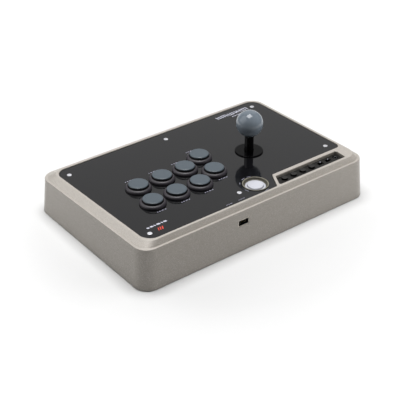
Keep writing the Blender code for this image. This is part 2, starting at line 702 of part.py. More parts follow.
def add_usb_port(materials):
    """USB socket: a metal shell with its tongue, set in the back wall."""
    shell = box((USB_X - USB_HALF_X, USB_BACK_Y + 0.5, USB_Z - USB_HALF_Z),
                (USB_X + USB_HALF_X, USB_MOUTH_Y, USB_Z + USB_HALF_Z))
    hollow = box((USB_X - USB_OPENING_HALF_X, USB_BACK_Y + 2.0, USB_Z - USB_OPENING_HALF_Z),
                 (USB_X + USB_OPENING_HALF_X, USB_MOUTH_Y + 1.0, USB_Z + USB_OPENING_HALF_Z))
    tongue = box((USB_X - 5.5, USB_BACK_Y + 1.0, USB_Z + 0.1),
                 (USB_X + 5.5, USB_MOUTH_Y - 5.3, USB_Z + 2.0))
    add_object("usb_port", join(cut(shell, hollow), tongue), materials["steel"])


def add_main_board(materials):
    """Controller board on the base, with its processor and connectors."""
    (x0, y0), (x1, y1) = MAIN_BOARD
    top = MAIN_BOARD_BOTTOM + BOARD_THICKNESS
    board = box((x0, y0, MAIN_BOARD_BOTTOM), (x1, y1, top))
    chips = []
    for x, y, half_x, half_y, height in MAIN_BOARD_CHIPS:
        chips.append(box((x - half_x, y - half_y, top - 0.5), (x + half_x, y + half_y, top + height)))
    add_object("main_board", join(board, *chips), materials["circuit_board"])


def smooth_route(points, samples):
    """Points of a smooth curve through the given ones."""
    knots = [Vector(point) for point in points]
    ahead = [*knots[1:], knots[-1]]
    behind = [knots[0], *knots[:-1]]
    directions = [(after - before).normalized() for after, before in zip(ahead, behind)]
    route = [knots[0]]
    for index in range(len(knots) - 1):
        start = knots[index]
        end = knots[index + 1]
        reach = (end - start).length / 3
        start_handle = start + directions[index] * reach
        end_handle = end - directions[index + 1] * reach
        route += interpolate_bezier(start, start_handle, end_handle, end, samples + 1)[1:]
    return route


def add_tube(name, route, radius, material, resolution=1):
    """Round tube along a route, with closed ends."""
    curve = bpy.data.curves.new(name, "CURVE")
    curve.dimensions = "3D"
    curve.bevel_depth = radius * MM
    curve.bevel_resolution = resolution
    curve.use_fill_caps = True
    spline = curve.splines.new("POLY")
    spline.points.add(len(route) - 1)
    for point, place in zip(spline.points, route):
        point.co = (place[0] * MM, place[1] * MM, place[2] * MM, 1.0)
    curve.materials.append(material)
    piece = bpy.data.objects.new(name, curve)
    bpy.context.collection.objects.link(piece)


def add_harnesses(materials):
    """Wiring from the lever's switches and from the option strip to the main board."""
    lead = 6.0                 # straight run at each end
    board_z = MAIN_BOARD_BOTTOM + BOARD_THICKNESS / 2
    x = LEVER[0] + STICK_BODY_HALF - 1.0 + GAP
    z = SWITCH_BOARD_BOTTOM
    end = MAIN_BOARD[0][0] - GAP
    lever_route = [
        (x, LEVER[1], z), (x + lead, LEVER[1], z), (2.0, -6.0, 19.0), (26.0, -29.0, 14.0),
        from_ground(end - lead, -41.0, board_z), from_ground(end, -41.0, board_z),
    ]
    add_tube("lever_harness", smooth_route(lever_route, 5), HARNESS_RADIUS, materials["wire"])
    x = STRIP_BOARD[1][0] + GAP
    z = (STRIP_BOARD_BOTTOM + STRIP_BOARD_TOP) / 2
    end = MAIN_BOARD[1][1] + GAP
    strip_route = [
        (x, 88.6, z), (x + lead, 88.6, z), (-32.0, 72.0, 25.0), (-8.0, 50.0, 16.0), (38.0, 24.0, 12.0),
        from_ground(74.0, end + lead, board_z), from_ground(74.0, end, board_z),
    ]
    add_tube("strip_harness", smooth_route(strip_route, 5), HARNESS_RADIUS, materials["wire"])


# ---------------------------------------------------------------- lever unit

def stud_places():
    """Where the mounting plate's studs hold the lever unit."""
    return [(LEVER[0] + STUD_X * sx, LEVER[1] + STUD_Y * sy) for sx in (-1, 1) for sy in (-1, 1)]


def sphere_arc(radius, low, high, steps):
    """Profile points on a sphere about the pivot, between two heights from its centre."""
    first = math.asin(low / radius)
    last = math.asin(high / radius)
    angles = [first + (last - first) * step / steps for step in range(steps + 1)]
    return [(radius * math.cos(angle), PIVOT_Z + radius * math.sin(angle)) for angle in angles]


def add_stick_mount_plate(materials):
    """Steel bracket that hangs the lever unit under the mounting plate."""
    outline = fillet_outline(rectangle(47.0, 30.0, 4.0, LEVER), steps=3)
    holes = [circle(STUD_RADIUS + GAP, place, 8) for place in stud_places()]
    holes.append(circle(22.0, LEVER))
    bracket = plate(outline, STICK_PLATE_BOTTOM, STICK_PLATE_TOP, holes)
    add_object("stick_mount_plate", bracket, materials["steel"])


def add_stick_body(materials):
    """Lever body: a block with a flared mouth and a round socket for the gimbal ring."""
    outline = fillet_outline(rectangle(STICK_BODY_HALF, STICK_BODY_HALF, 6.0, LEVER), steps=2)
    block = plate(outline, STICK_BODY_BOTTOM, STICK_BODY_TOP)
    profile = [(0, STICK_BODY_BOTTOM - 1.0), (12.2, STICK_BODY_BOTTOM - 1.0), (12.2, PIVOT_Z)]
    profile += sphere_arc(SOCKET_RADIUS, 0.5, 6.2, 3)
    profile += [(9.6, PIVOT_Z + 6.2), (LEVER_HOLE_RADIUS, STICK_BODY_TOP + 1.0), (0, STICK_BODY_TOP + 1.0)]
    body = cut(block, turned(profile, FINE_ROUND, LEVER))
    add_object("stick_body", body, materials["black_plastic"])


def add_switch_board(materials):
    """Lever circuit board with the four microswitches that the actuator presses."""
    x, y = LEVER
    half = STICK_BODY_HALF - 1.0
    outline = fillet_outline(rectangle(half, half, 4.0, LEVER), steps=2)
    board = plate(outline, SWITCH_BOARD_BOTTOM, SWITCH_BOARD_TOP, [circle(14.0, LEVER)])
    near = SWITCH_FACE
    far = SWITCH_FACE + 6.5
    top = SWITCH_BOARD_BOTTOM + 0.5
    switches = []
    for sign in (-1, 1):
        a, b = sorted((sign * near, sign * far))
        switches.append(box((x + a, y - 10.0, SWITCH_BOTTOM), (x + b, y + 10.0, top)))
        switches.append(box((x - 10.0, y + a, SWITCH_BOTTOM), (x + 10.0, y + b, top)))
    add_object("switch_board", join(board, *switches), materials["circuit_board"])


def add_restrictor_gate(materials):
    """Square gate that limits the lever, on four corner posts."""
    x, y = LEVER
    half = STICK_BODY_HALF - 1.0
    outline = fillet_outline(rectangle(half, half, 4.0, LEVER), steps=2)
    opening = fillet_outline(rectangle(GATE_OPENING_HALF, GATE_OPENING_HALF, 2.0, LEVER), steps=2)
    gate = plate(outline, GATE_BOTTOM, GATE_TOP, [opening])
    reach = half - 4.0
    posts = [cylinder(3.0, GATE_TOP - 1.0, SWITCH_BOARD_BOTTOM - GAP, (x + sx * reach, y + sy * reach), 8)
             for sx in (-1, 1) for sy in (-1, 1)]
    add_object("restrictor_gate", join(gate, *posts), materials["black_plastic"])


def lever_origin():
    """Centre of the lever's pivot."""
    return (LEVER[0], LEVER[1], PIVOT_Z)


def add_gimbal_ring(materials):
    """Ring between the pivot ball and the body's socket, round inside and out."""
    profile = sphere_arc(GIMBAL_OUTER_RADIUS, -GIMBAL_HALF_HEIGHT, GIMBAL_HALF_HEIGHT, 4)
    inner = sphere_arc(GIMBAL_INNER_RADIUS, -GIMBAL_HALF_HEIGHT, GIMBAL_HALF_HEIGHT, 4)
    ring = turned(profile + inner[::-1], FINE_ROUND, LEVER)
    add_object("gimbal_ring", ring, materials["nylon"], lever_origin())


def add_lever_pivot(materials):
    """Pivot ball, bored for the shaft."""
    profile = sphere_arc(PIVOT_RADIUS, -PIVOT_HALF_HEIGHT, PIVOT_HALF_HEIGHT, 6)
    for height in (PIVOT_HALF_HEIGHT, -PIVOT_HALF_HEIGHT):
        profile.append((SLEEVE_BORE_RADIUS, PIVOT_Z + height))
    add_object("lever_pivot", turned(profile, FINE_ROUND, LEVER), materials["nylon"], lever_origin())


def add_lever_shaft(materials):
    """Steel shaft from the ball top down to its clip groove."""
    groove_low = CLIP_BOTTOM - 0.1
    groove_high = CLIP_TOP + 0.1
    profile = [
        (0, SHAFT_BOTTOM), (SHAFT_RADIUS - 0.6, SHAFT_BOTTOM), (SHAFT_RADIUS, SHAFT_BOTTOM + 0.6),
        (SHAFT_RADIUS, groove_low), (CLIP_GROOVE_RADIUS, groove_low), (CLIP_GROOVE_RADIUS, groove_high),
        (SHAFT_RADIUS, groove_high), (SHAFT_RADIUS, BALL_Z - 10.0), (3.0, BALL_Z - 10.0),
        (3.0, BALL_Z + 2.0), (0, BALL_Z + 2.0),
    ]
    add_object("lever_shaft", turned(profile, 16, LEVER), materials["bright_steel"], lever_origin())


def add_ball_top(materials):
    """Ball knob with a flat and a stepped bore underneath."""
    flat_z = BALL_Z - math.sqrt(BALL_RADIUS ** 2 - COVER_RADIUS ** 2)
    first = math.asin((flat_z - BALL_Z) / BALL_RADIUS)
    steps = 11
    profile = [(0, BALL_Z + 2.0 + GAP), (3.0 + GAP, BALL_Z + 2.0 + GAP), (3.0 + GAP, BALL_Z - 10.0 + GAP),
               (SLEEVE_BORE_RADIUS, BALL_Z - 10.0 + GAP), (SLEEVE_BORE_RADIUS, flat_z)]
    for step in range(steps):
        angle = first + (math.pi / 2 - first) * step / steps
        profile.append((BALL_RADIUS * math.cos(angle), BALL_Z + BALL_RADIUS * math.sin(angle)))
    profile.append((0, BALL_Z + BALL_RADIUS))
    add_object("ball_top", turned(profile, FINE_ROUND, LEVER), materials["button_grey"], lever_origin())


def add_shaft_cover(materials):
    """Plastic tube round the shaft, between the pivot and the ball."""
    low = PIVOT_Z + PIVOT_HALF_HEIGHT + GAP
    high = BALL_Z - math.sqrt(BALL_RADIUS ** 2 - COVER_RADIUS ** 2) - GAP
    bore = SLEEVE_BORE_RADIUS
    profile = [(bore, low), (COVER_RADIUS, low), (COVER_RADIUS, high), (bore, high)]
    add_object("shaft_cover", turned(profile, 20, LEVER), materials["black_plastic"], lever_origin())


def add_centring_spring(materials):
    """Coil spring between the pivot and the actuator, with its end turns laid flat."""
    steps_per_turn = 10
    dead_turns = 0.75
    total = SPRING_TURNS + 2 * dead_turns
    pitch_rise = (SPRING_TOP - SPRING_BOTTOM - 2 * dead_turns * 0.6) / SPRING_TURNS
    route = []
    height = SPRING_BOTTOM
    count = int(total * steps_per_turn)
    for step in range(count + 1):
        turn = step / steps_per_turn
        angle = math.tau * turn
        live = dead_turns <= turn < total - dead_turns
        x = LEVER[0] + SPRING_RADIUS * math.cos(angle)
        y = LEVER[1] + SPRING_RADIUS * math.sin(angle)
        route.append((x, y, height))
        height += (pitch_rise if live else 0.6) / steps_per_turn
    add_tube("centring_spring", route, SPRING_WIRE_RADIUS, materials["bright_steel"])


def add_actuator(materials):
    """Sleeve at the foot of the shaft that presses the microswitches."""
    bore = SLEEVE_BORE_RADIUS
    profile = [
        (bore, ACTUATOR_BOTTOM), (6.5, ACTUATOR_BOTTOM), (6.5, 14.0), (8.0, 14.8), (8.0, 19.0),
        (9.0, 19.2), (9.0, ACTUATOR_TOP), (bore, ACTUATOR_TOP),
    ]
    add_object("actuator", turned(profile, 20, LEVER), materials["nylon"], lever_origin())


def add_e_clip(materials):
    """Spring clip in the shaft's groove, open on one side."""
    opening = math.radians(35)
    steps = 14
    inner = []
    outer = []
    for step in range(steps + 1):
        angle = opening + (math.tau - 2 * opening) * step / steps
        for side, radius in ((inner, CLIP_GROOVE_RADIUS + GAP), (outer, CLIP_OUTER_RADIUS)):
            side.append((LEVER[0] + radius * math.cos(angle), LEVER[1] + radius * math.sin(angle)))
    clip = plate(outer + inner[::-1], CLIP_BOTTOM, CLIP_TOP)
    add_object("e_clip", clip, materials["steel"], lever_origin())


def add_dust_washers(materials):
    """Washer that slides on the panel, and the slotted one that guides it from below."""
    low = PANEL_TOP + GAP
    high = low + WASHER_THICKNESS
    washer = turned([
        (WASHER_HOLE_RADIUS, low), (WASHER_RADIUS, low), (WASHER_RADIUS, high - 0.3),
        (WASHER_RADIUS - 0.4, high), (WASHER_HOLE_RADIUS, high),
    ], FINE_ROUND, LEVER)
    add_object("dust_washer", washer, materials["black_plastic"], (*LEVER, low))
    low = STICK_BODY_TOP + GAP
    slot = fillet_outline(rectangle(INNER_SLOT_HALF_X, INNER_SLOT_HALF_Y, 7.0, LEVER), steps=4)
    inner = plate(circle(INNER_WASHER_RADIUS, LEVER), low, low + INNER_WASHER_THICKNESS, [slot])
    add_object("inner_dust_washer", inner, materials["black_plastic"], (*LEVER, low))


def clear_scene():
    """Remove what the scene holds."""
    for piece in list(bpy.data.objects):
        bpy.data.objects.remove(piece)


def main():
    """Build every piece."""
    clear_scene()
    materials = make_materials()
    for add_pieces in (
        add_top_housing, add_panel_cover, add_mounting_plate, add_panel_screws, add_buttons,
        add_home_button, add_option_strip, add_strip_board, add_usb_port, add_harnesses,
        add_stick_mount_plate, add_stick_body, add_switch_board, add_restrictor_gate, add_gimbal_ring,
        add_lever_pivot, add_lever_shaft, add_ball_top, add_shaft_cover, add_centring_spring,
        add_actuator, add_e_clip, add_dust_washers,
    ):
        add_pieces(materials)
    lean_everything()
    for add_pieces in (add_base_plate, add_feet, add_main_board):
        add_pieces(materials)


main()
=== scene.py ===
"""Looks of the arcade joystick panel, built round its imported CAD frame.

Pieces are drawn in millimetres in the panel's own frame: its origin is in the middle of the
panel's top face, +X is the player's right, +Y leads up the leaning panel to its back edge,
and +Z stands square to it. add_piece() leans and scales them into the frame of the model.
"""

import json
import math

import bmesh
import bpy
from mathutils import Matrix, Vector


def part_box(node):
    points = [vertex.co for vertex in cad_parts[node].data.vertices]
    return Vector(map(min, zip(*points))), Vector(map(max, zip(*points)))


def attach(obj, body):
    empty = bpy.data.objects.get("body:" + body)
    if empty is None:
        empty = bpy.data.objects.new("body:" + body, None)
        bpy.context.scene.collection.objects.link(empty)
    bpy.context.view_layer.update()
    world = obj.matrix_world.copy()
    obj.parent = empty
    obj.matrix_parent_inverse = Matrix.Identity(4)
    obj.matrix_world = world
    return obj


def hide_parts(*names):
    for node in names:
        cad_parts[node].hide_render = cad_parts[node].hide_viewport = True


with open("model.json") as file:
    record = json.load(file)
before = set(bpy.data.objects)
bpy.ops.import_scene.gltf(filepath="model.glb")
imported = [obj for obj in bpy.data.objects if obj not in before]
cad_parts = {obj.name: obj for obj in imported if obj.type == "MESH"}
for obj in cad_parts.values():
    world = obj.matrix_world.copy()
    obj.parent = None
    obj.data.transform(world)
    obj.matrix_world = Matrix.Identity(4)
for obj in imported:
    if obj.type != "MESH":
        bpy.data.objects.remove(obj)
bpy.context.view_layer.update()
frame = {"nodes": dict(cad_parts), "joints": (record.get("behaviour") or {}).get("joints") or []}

MM = 0.001
GAP = 0.3                      # clearance between neighbouring pieces
THROUGH = 2.0                  # how far a cutting tool stands out over the panel
ROUND = 64                     # facets round a turned piece
CORNER_STEPS = 12              # steps in each rounded corner of an outline
EDGE_STEPS = 4                 # steps in each rounded edge of a profile
STRAIGHT = math.radians(89)    # half of a corner's angle from which it counts as straight
REACH = 0.49                   # largest share of a straight run that a rounding may take
LEAST_RADIUS = 0.3             # of an outline's corner that is moved
INK_FOOT, INK_TOP = 0.02, 0.05  # heights of ink over the face that carries it
SMOOTH_ANGLE = math.radians(32)
PANEL_THICKNESS = 3.0

# ---------------------------------------------------------------- the frame


def panel_frame():
    """Matrix from the panel's frame, in metres, to the model's frame."""
    sideways = next(j for j in frame["joints"] if j["name"] == "lever_tilt_sideways")
    lean = Matrix.Rotation(math.atan2(sideways["axis"][2], sideways["axis"][1]), 4, "X")
    low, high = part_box("panel_cover")
    half = PANEL_THICKNESS / 2 * MM
    return Matrix.Translation((low + high) / 2) @ lean @ Matrix.Translation((0, 0, half))


PANEL = panel_frame()
UPRIGHT = PANEL[2][2]          # rise over the ground for each step square to the panel
TO_MODEL = PANEL @ Matrix.Scale(MM, 4)
TO_PANEL = TO_MODEL.inverted()


def span(node):
    """Lowest and highest corners of a CAD node in the panel's frame."""
    points = [TO_PANEL @ vertex.co for vertex in frame["nodes"][node].data.vertices]
    low = Vector(min(point[axis] for point in points) for axis in range(3))
    high = Vector(max(point[axis] for point in points) for axis in range(3))
    return low, high


def middle(node):
    """Place on the panel over the middle of a CAD node."""
    low, high = span(node)
    return ((low + high) / 2)[:2]


def above_ground(x, y, height):
    """Point over a place on the panel, at a height above the ground."""
    level = TO_MODEL @ Vector((x, y, 0))
    return Vector((x, y, (height * MM - level.z) / (MM * UPRIGHT)))


def numbered(prefix, count):
    """The names prefix_1, prefix_2 and so on."""
    return [f"{prefix}_{number}" for number in range(1, count + 1)]


PANEL_LOW, PANEL_HIGH = span("panel_cover")
PANEL_HALF_X, PANEL_HALF_Y = ((PANEL_HIGH - PANEL_LOW) / 2)[:2]
CASE_CENTRE = Vector(middle("top_housing"))
PLUNGERS = numbered("button_plunger", 8)
PANEL_SCREWS = numbered("panel_screw", 6)
BUTTON_PLACES = [middle(node) for node in PLUNGERS]
SCREW_PLACES = [middle(node) for node in PANEL_SCREWS]
HOME_PLACE = middle("home_bezel")
LEVER_PLACE = middle("shaft_cover")

# ---------------------------------------------------------------- mesh tools


def arc_corner(before, corner, after, radius, steps):
    """Points of the arc that rounds the corner between two straight runs."""
    back = (before - corner).normalized()
    ahead = (after - corner).normalized()
    half = back.angle(ahead) / 2
    if radius <= 0 or half > STRAIGHT:
        return [corner]
    reach = min(radius / math.tan(half), REACH * (before - corner).length, REACH * (after - corner).length)
    radius = reach * math.tan(half)
    centre = corner + (back + ahead).normalized() * radius / math.sin(half)
    start = corner + back * reach - centre
    end = corner + ahead * reach - centre
    first = math.atan2(start.y, start.x)
    sweep = (math.atan2(end.y, end.x) - first + math.pi) % math.tau - math.pi
    angles = [first + sweep * step / steps for step in range(steps + 1)]
    return [centre + radius * Vector((math.cos(angle), math.sin(angle))) for angle in angles]


def rounded_loop(corners, steps=CORNER_STEPS):
    """Closed outline through (x, y, radius) corners, each rounded by an arc."""
    points = []
    for index, (x, y, radius) in enumerate(corners):
        before = Vector(corners[index - 1][:2])
        after = Vector(corners[(index + 1) % len(corners)][:2])
        points += arc_corner(before, Vector((x, y)), after, radius, steps)
    return points


def rounded_path(corners, steps):
    """Open profile through (a, b, radius) corners, each rounded by an arc."""
    points = [Vector(corners[0][:2])]
    for index in range(1, len(corners) - 1):
        before, corner, after = (Vector(corners[index + shift][:2]) for shift in (-1, 0, 1))
        points += arc_corner(before, corner, after, corners[index][2], steps)
    points.append(Vector(corners[-1][:2]))
    return points


def swept(centre, radii, first, last, steps):
    """Profile corners on an arc of an ellipse, between two angles in degrees."""
    angles = [math.radians(first + (last - first) * step / steps) for step in range(steps + 1)]
    return [(centre[0] + radii[0] * math.cos(a), centre[1] + radii[1] * math.sin(a), 0) for a in angles]


def grown(corners, distance):
    """The same corners with every edge moved outwards, and the radii to suit."""
    result = []
    for index, (x, y, radius) in enumerate(corners):
        corner = Vector((x, y))
        into = (corner - Vector(corners[index - 1][:2])).normalized()
        out = (Vector(corners[(index + 1) % len(corners)][:2]) - corner).normalized()
        normals = Vector((into.y, -into.x)), Vector((out.y, -out.x))
        moved = corner + distance * (normals[0] + normals[1]) / (1 + normals[0].dot(normals[1]))
        convex = into.cross(out) > 0
        new_radius = radius + distance if convex else radius - distance
        result.append((moved.x, moved.y, max(new_radius, LEAST_RADIUS)))
    return result


def rectangle(half_x, half_y, radius, centre=(0.0, 0.0)):
    """Corners of a rounded rectangle, anticlockwise from the front left."""
    signs = ((-1, -1), (1, -1), (1, 1), (-1, 1))
    return [(centre[0] + half_x * sx, centre[1] + half_y * sy, radius) for sx, sy in signs]


def circle(radius, centre=(0.0, 0.0), segments=ROUND):
    """Points of a circle."""
    angles = [math.tau * step / segments for step in range(segments)]
    return [Vector((centre[0] + radius * math.cos(a), centre[1] + radius * math.sin(a))) for a in angles]


def lifted(outline, height):
    """An outline laid at a height."""
    return [(x, y, height) for x, y in outline]


def face_outwards(mesh):
    """Turn every face of a closed mesh to point out."""
    bmesh.ops.recalc_face_normals(mesh, faces=mesh.faces[:])
    return mesh


def loft(loops):
    """Closed solid through loops with equal numbers of points."""
    mesh = bmesh.new()
    rings = [[mesh.verts.new(point) for point in loop] for loop in loops]
    for lower, upper in zip(rings, rings[1:]):
        for index in range(len(lower)):
            mesh.faces.new((lower[index - 1], lower[index], upper[index], upper[index - 1]))
    mesh.faces.new(rings[0])
    mesh.faces.new(rings[-1])
    return face_outwards(mesh)


def plate(outline, low, high, holes=()):
    """Flat plate between two heights, with holes through it."""
    mesh = bmesh.new()
    for loop in (outline, *holes):
        corners = [mesh.verts.new((x, y, low)) for x, y in loop]
        for start, end in zip(corners, corners[1:] + corners[:1]):
            mesh.edges.new((start, end))
    bmesh.ops.triangle_fill(mesh, use_beauty=True, edges=mesh.edges[:])
    lifted_part = bmesh.ops.extrude_face_region(mesh, geom=mesh.faces[:])
    top = [item for item in lifted_part["geom"] if isinstance(item, bmesh.types.BMVert)]
    bmesh.ops.translate(mesh, verts=top, vec=(0, 0, high - low))
    return face_outwards(mesh)


def turned(corners, centre=(0.0, 0.0), segments=ROUND):
    """Solid turned about an upright axis from (radius, height, edge radius) corners.

    A profile that starts and ends on the axis is a full body. Any other is closed into a ring.
    """
    profile = rounded_path(corners, EDGE_STEPS)
    mesh = bmesh.new()
    points = [mesh.verts.new((radius, 0, height)) for radius, height in profile]
    following = points[1:]
    if profile[0][0] > 0:
        following = points[1:] + points[:1]
    edges = [mesh.edges.new(pair) for pair in zip(points, following)]
    bmesh.ops.spin(mesh, geom=points + edges, cent=(0, 0, 0), axis=(0, 0, 1),
                   angle=math.tau, steps=segments, use_merge=True)
    bmesh.ops.remove_doubles(mesh, verts=mesh.verts[:], dist=1e-4)
    bmesh.ops.translate(mesh, verts=mesh.verts[:], vec=(centre[0], centre[1], 0))
    return face_outwards(mesh)


def rounded_box(low, high, edge):
    """Box with every edge rounded to one radius."""
    steps = 3
    centre = ((low[0] + high[0]) / 2, (low[1] + high[1]) / 2)
    half_x, half_y = (high[0] - low[0]) / 2, (high[1] - low[1]) / 2
    loops = []
    for step in range(steps + 1):
        angle = math.pi / 2 * step / steps
        inset = edge * (1 - math.sin(angle))
        loops.append((inset, low[2] + edge * (1 - math.cos(angle))))
    loops += [(inset, low[2] + high[2] - height) for inset, height in reversed(loops)]
    outlines = []
    for inset, height in loops:
        corners = rectangle(half_x - inset, half_y - inset, max(edge - inset, 0.05), centre)
        outlines.append(lifted(rounded_loop(corners, 4), height))
    return loft(outlines)


def temporary_object(mesh):
    """Scene object that holds a mesh for a Boolean."""
    data = bpy.data.meshes.new("temporary")
    mesh.to_mesh(data)
    mesh.free()
    holder = bpy.data.objects.new("temporary", data)
    bpy.context.scene.collection.objects.link(holder)
    return holder


def combine(body, others, operation):
    """Body joined with, or cut by, each of the other solids."""
    target = temporary_object(body)
    helpers = [temporary_object(other) for other in others]
    for helper in helpers:
        step = target.modifiers.new("step", "BOOLEAN")
        step.operation = operation
        step.solver = "EXACT"
        step.object = helper
    result = bmesh.new()
    result.from_object(target, bpy.context.evaluated_depsgraph_get())
    for holder in [target, *helpers]:
        data = holder.data
        bpy.data.objects.remove(holder)
        bpy.data.meshes.remove(data)
    return result


def cut(body, *tools):
    """Body with the tools cut away."""
    return combine(body, tools, "DIFFERENCE")


def join(body, *additions):
    """Body and additions as one solid."""
    return combine(body, additions, "UNION")


def mesh_data(name, mesh, material):
    """Mesh data in the model's frame, smooth except at its sharp edges."""
    mesh.transform(TO_MODEL)
    data = bpy.data.meshes.new(name)
    mesh.to_mesh(data)
    mesh.free()
    data.materials.append(material)
    data.shade_smooth()
    data.set_sharp_from_angle(angle=SMOOTH_ANGLE)
    return data


def show(name, data, shift, body, nodes):
    """Object that shows mesh data, rides on a CAD body and stands for its CAD nodes."""
    piece = bpy.data.objects.new(name, data)
    bpy.context.scene.collection.objects.link(piece)
    piece.location = shift
    weighted = piece.modifiers.new("weighted_normals", "WEIGHTED_NORMAL")
    weighted.keep_sharp = True
    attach(piece, body)
    if nodes:
        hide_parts(*nodes)


def add_piece(name, mesh, look, body="case", nodes=()):
    """Finished piece. look is (material, material slot of the record); the slot is not used."""
    material, slot = look
    show(name, mesh_data(name, mesh, material), (0, 0, 0), body, nodes)


def repeat_piece(prefix, mesh, look, places, bodies=None, nodes=None):
    """Copies of one piece at several places on the panel, numbered from 1."""
    material, slot = look
    data = mesh_data(prefix, mesh, material)
    home = TO_MODEL @ Vector((0, 0, 0))
    for index, (x, y) in enumerate(places):
        shift = (TO_MODEL @ Vector((x, y, 0))) - home
        body = bodies[index] if bodies else "case"
        show(f"{prefix}_{index + 1}", data, shift, body, nodes[index:index + 1] if nodes else ())


# ---------------------------------------------------------------- materials


def linear(colour):
    """Linear RGBA of an sRGB colour with channels from 0 to 255."""
    channels = [value / 255 for value in colour]
    return [c / 12.92 if c <= 0.04045 else ((c + 0.055) / 1.055) ** 2.4 for c in channels] + [1.0]


class Look:
    """A Principled material and the nodes that give it its grain."""

    # Places of the colour sockets on Blender's Mix node, which has others of the same names.
    MIX_SHARE, MIX_FIRST, MIX_SECOND, MIX_RESULT = 0, 6, 7, 2

    def __init__(self, name, roughness, metallic=0.0):
        self.material = bpy.data.materials.new(name)
        self.material.use_nodes = True
        self.tree = self.material.node_tree
        self.shader = self.tree.nodes["Principled BSDF"]
        self.shader.inputs["Metallic"].default_value = metallic
        self.shader.inputs["Roughness"].default_value = roughness
        self.place = self.tree.nodes.new("ShaderNodeTexCoord").outputs["Object"]

    def node(self, kind, inputs=(), **settings):
        """New node with its inputs linked or set, and its settings."""
        node = self.tree.nodes.new(kind)
        for key, value in settings.items():
            setattr(node, key, value)
        for key, value in dict(inputs).items():
            if isinstance(value, bpy.types.NodeSocket):
                self.tree.links.new(value, node.inputs[key])
            else:
                node.inputs[key].default_value = value
        return node

    def noise(self, size, detail=3.0):
        """Noise with features of about the given size in millimetres."""
        inputs = {"Vector": self.place, "Scale": 1 / (size * MM), "Detail": detail}
        return self.node("ShaderNodeTexNoise", inputs).outputs["Fac"]

    def cells(self, size):
        """Random grey for each of many small cells."""
        inputs = {"Vector": self.place, "Scale": 1 / (size * MM)}
        colour = self.node("ShaderNodeTexVoronoi", inputs).outputs["Color"]
        return self.node("ShaderNodeSeparateColor", {"Color": colour}).outputs["Red"]

    def upward(self):
        """How far a face looks up, from -1 to 1."""
        normal = self.node("ShaderNodeNewGeometry").outputs["Normal"]
        return self.node("ShaderNodeSeparateXYZ", {"Vector": normal}).outputs["Z"]

    def spread(self, value, low, high, start=0.0, end=1.0):
        """A value mapped from one range to another."""
        inputs = {"Value": value, "From Min": start, "From Max": end, "To Min": low, "To Max": high}
        return self.node("ShaderNodeMapRange", inputs).outputs["Result"]

    def colours(self, value, *stops):
        """Colour ramp through (position, sRGB colour) stops."""
        node = self.node("ShaderNodeValToRGB", {"Fac": value})
        ramp = node.color_ramp
        while len(ramp.elements) < len(stops):
            ramp.elements.new(0.5)
        for element, (position, colour) in zip(ramp.elements, stops):
            element.position = position
            element.color = linear(colour)
        return node.outputs["Color"]

    def blend(self, value, first, second):
        """Mix of two colours by a value."""
        node = self.tree.nodes.new("ShaderNodeMix")
        node.data_type = "RGBA"
        self.tree.links.new(value, node.inputs[self.MIX_SHARE])
        for socket, colour in ((node.inputs[self.MIX_FIRST], first), (node.inputs[self.MIX_SECOND], second)):
            if isinstance(colour, bpy.types.NodeSocket):
                self.tree.links.new(colour, socket)
            else:
                socket.default_value = linear(colour)
        return node.outputs[self.MIX_RESULT]

    def bump(self, *layers):
        """Bump from (height, depth in millimetres) layers, one over the other."""
        normal = None
        for height, depth in layers:
            inputs = {"Height": height, "Distance": depth * MM, "Strength": 1.0}
            if normal:
                inputs["Normal"] = normal
            normal = self.node("ShaderNodeBump", inputs).outputs["Normal"]
        self.link("Normal", normal)

    def link(self, key, socket):
        """Feed one of the shader's inputs."""
        self.tree.links.new(socket, self.shader.inputs[key])

    def set(self, **values):
        """Set the shader's uniform inputs, with _ for the spaces in their names."""
        for key, value in values.items():
            self.shader.inputs[key.replace("_", " ")].default_value = value


def tinted(colour, change):
    """An sRGB colour made lighter or darker."""
    return tuple(min(255, max(0, channel + change)) for channel in colour)


def moulded(name, colour, roughness, grain, depth, change, slot="black_plastic"):
    """Moulded plastic: fine grain of a size and depth, faint clouding and uneven gloss."""
    look = Look(name, roughness)
    cloud = look.noise(9.0)
    fine = look.noise(grain, 2.0)
    tone = look.colours(cloud, (0.3, tinted(colour, -change)), (0.7, tinted(colour, change)))
    look.link("Base Color", look.blend(look.spread(fine, 0.0, 0.5), tone, tinted(colour, change)))
    look.link("Roughness", look.spread(look.noise(6.0), roughness - 0.03, roughness + 0.04, 0.3, 0.7))
    look.bump((fine, depth))
    return look.material, slot


def lit_top_shaded_sides(name, top, shaded_side, roughness, slot):
    """Satin plastic with painted shade: a lit top face, and sides in a far darker shaded colour."""
    look = Look(name, roughness)
    grain = look.noise(0.8, 2.0)
    face = look.colours(grain, (0.3, tinted(top, -2)), (0.7, tinted(top, 2)))
    look.link("Base Color", look.blend(look.spread(look.upward(), 0.0, 1.0, 0.85, 0.97), shaded_side, face))
    look.link("Roughness", look.spread(look.noise(3.0), roughness - 0.03, roughness + 0.04, 0.3, 0.7))
    look.bump((grain, 0.001))
    return look.material, slot


def dull(look, shine=0.15):
    """The same plastic with a weaker shine."""
    look[0].node_tree.nodes["Principled BSDF"].inputs["Specular IOR Level"].default_value = shine
    return look


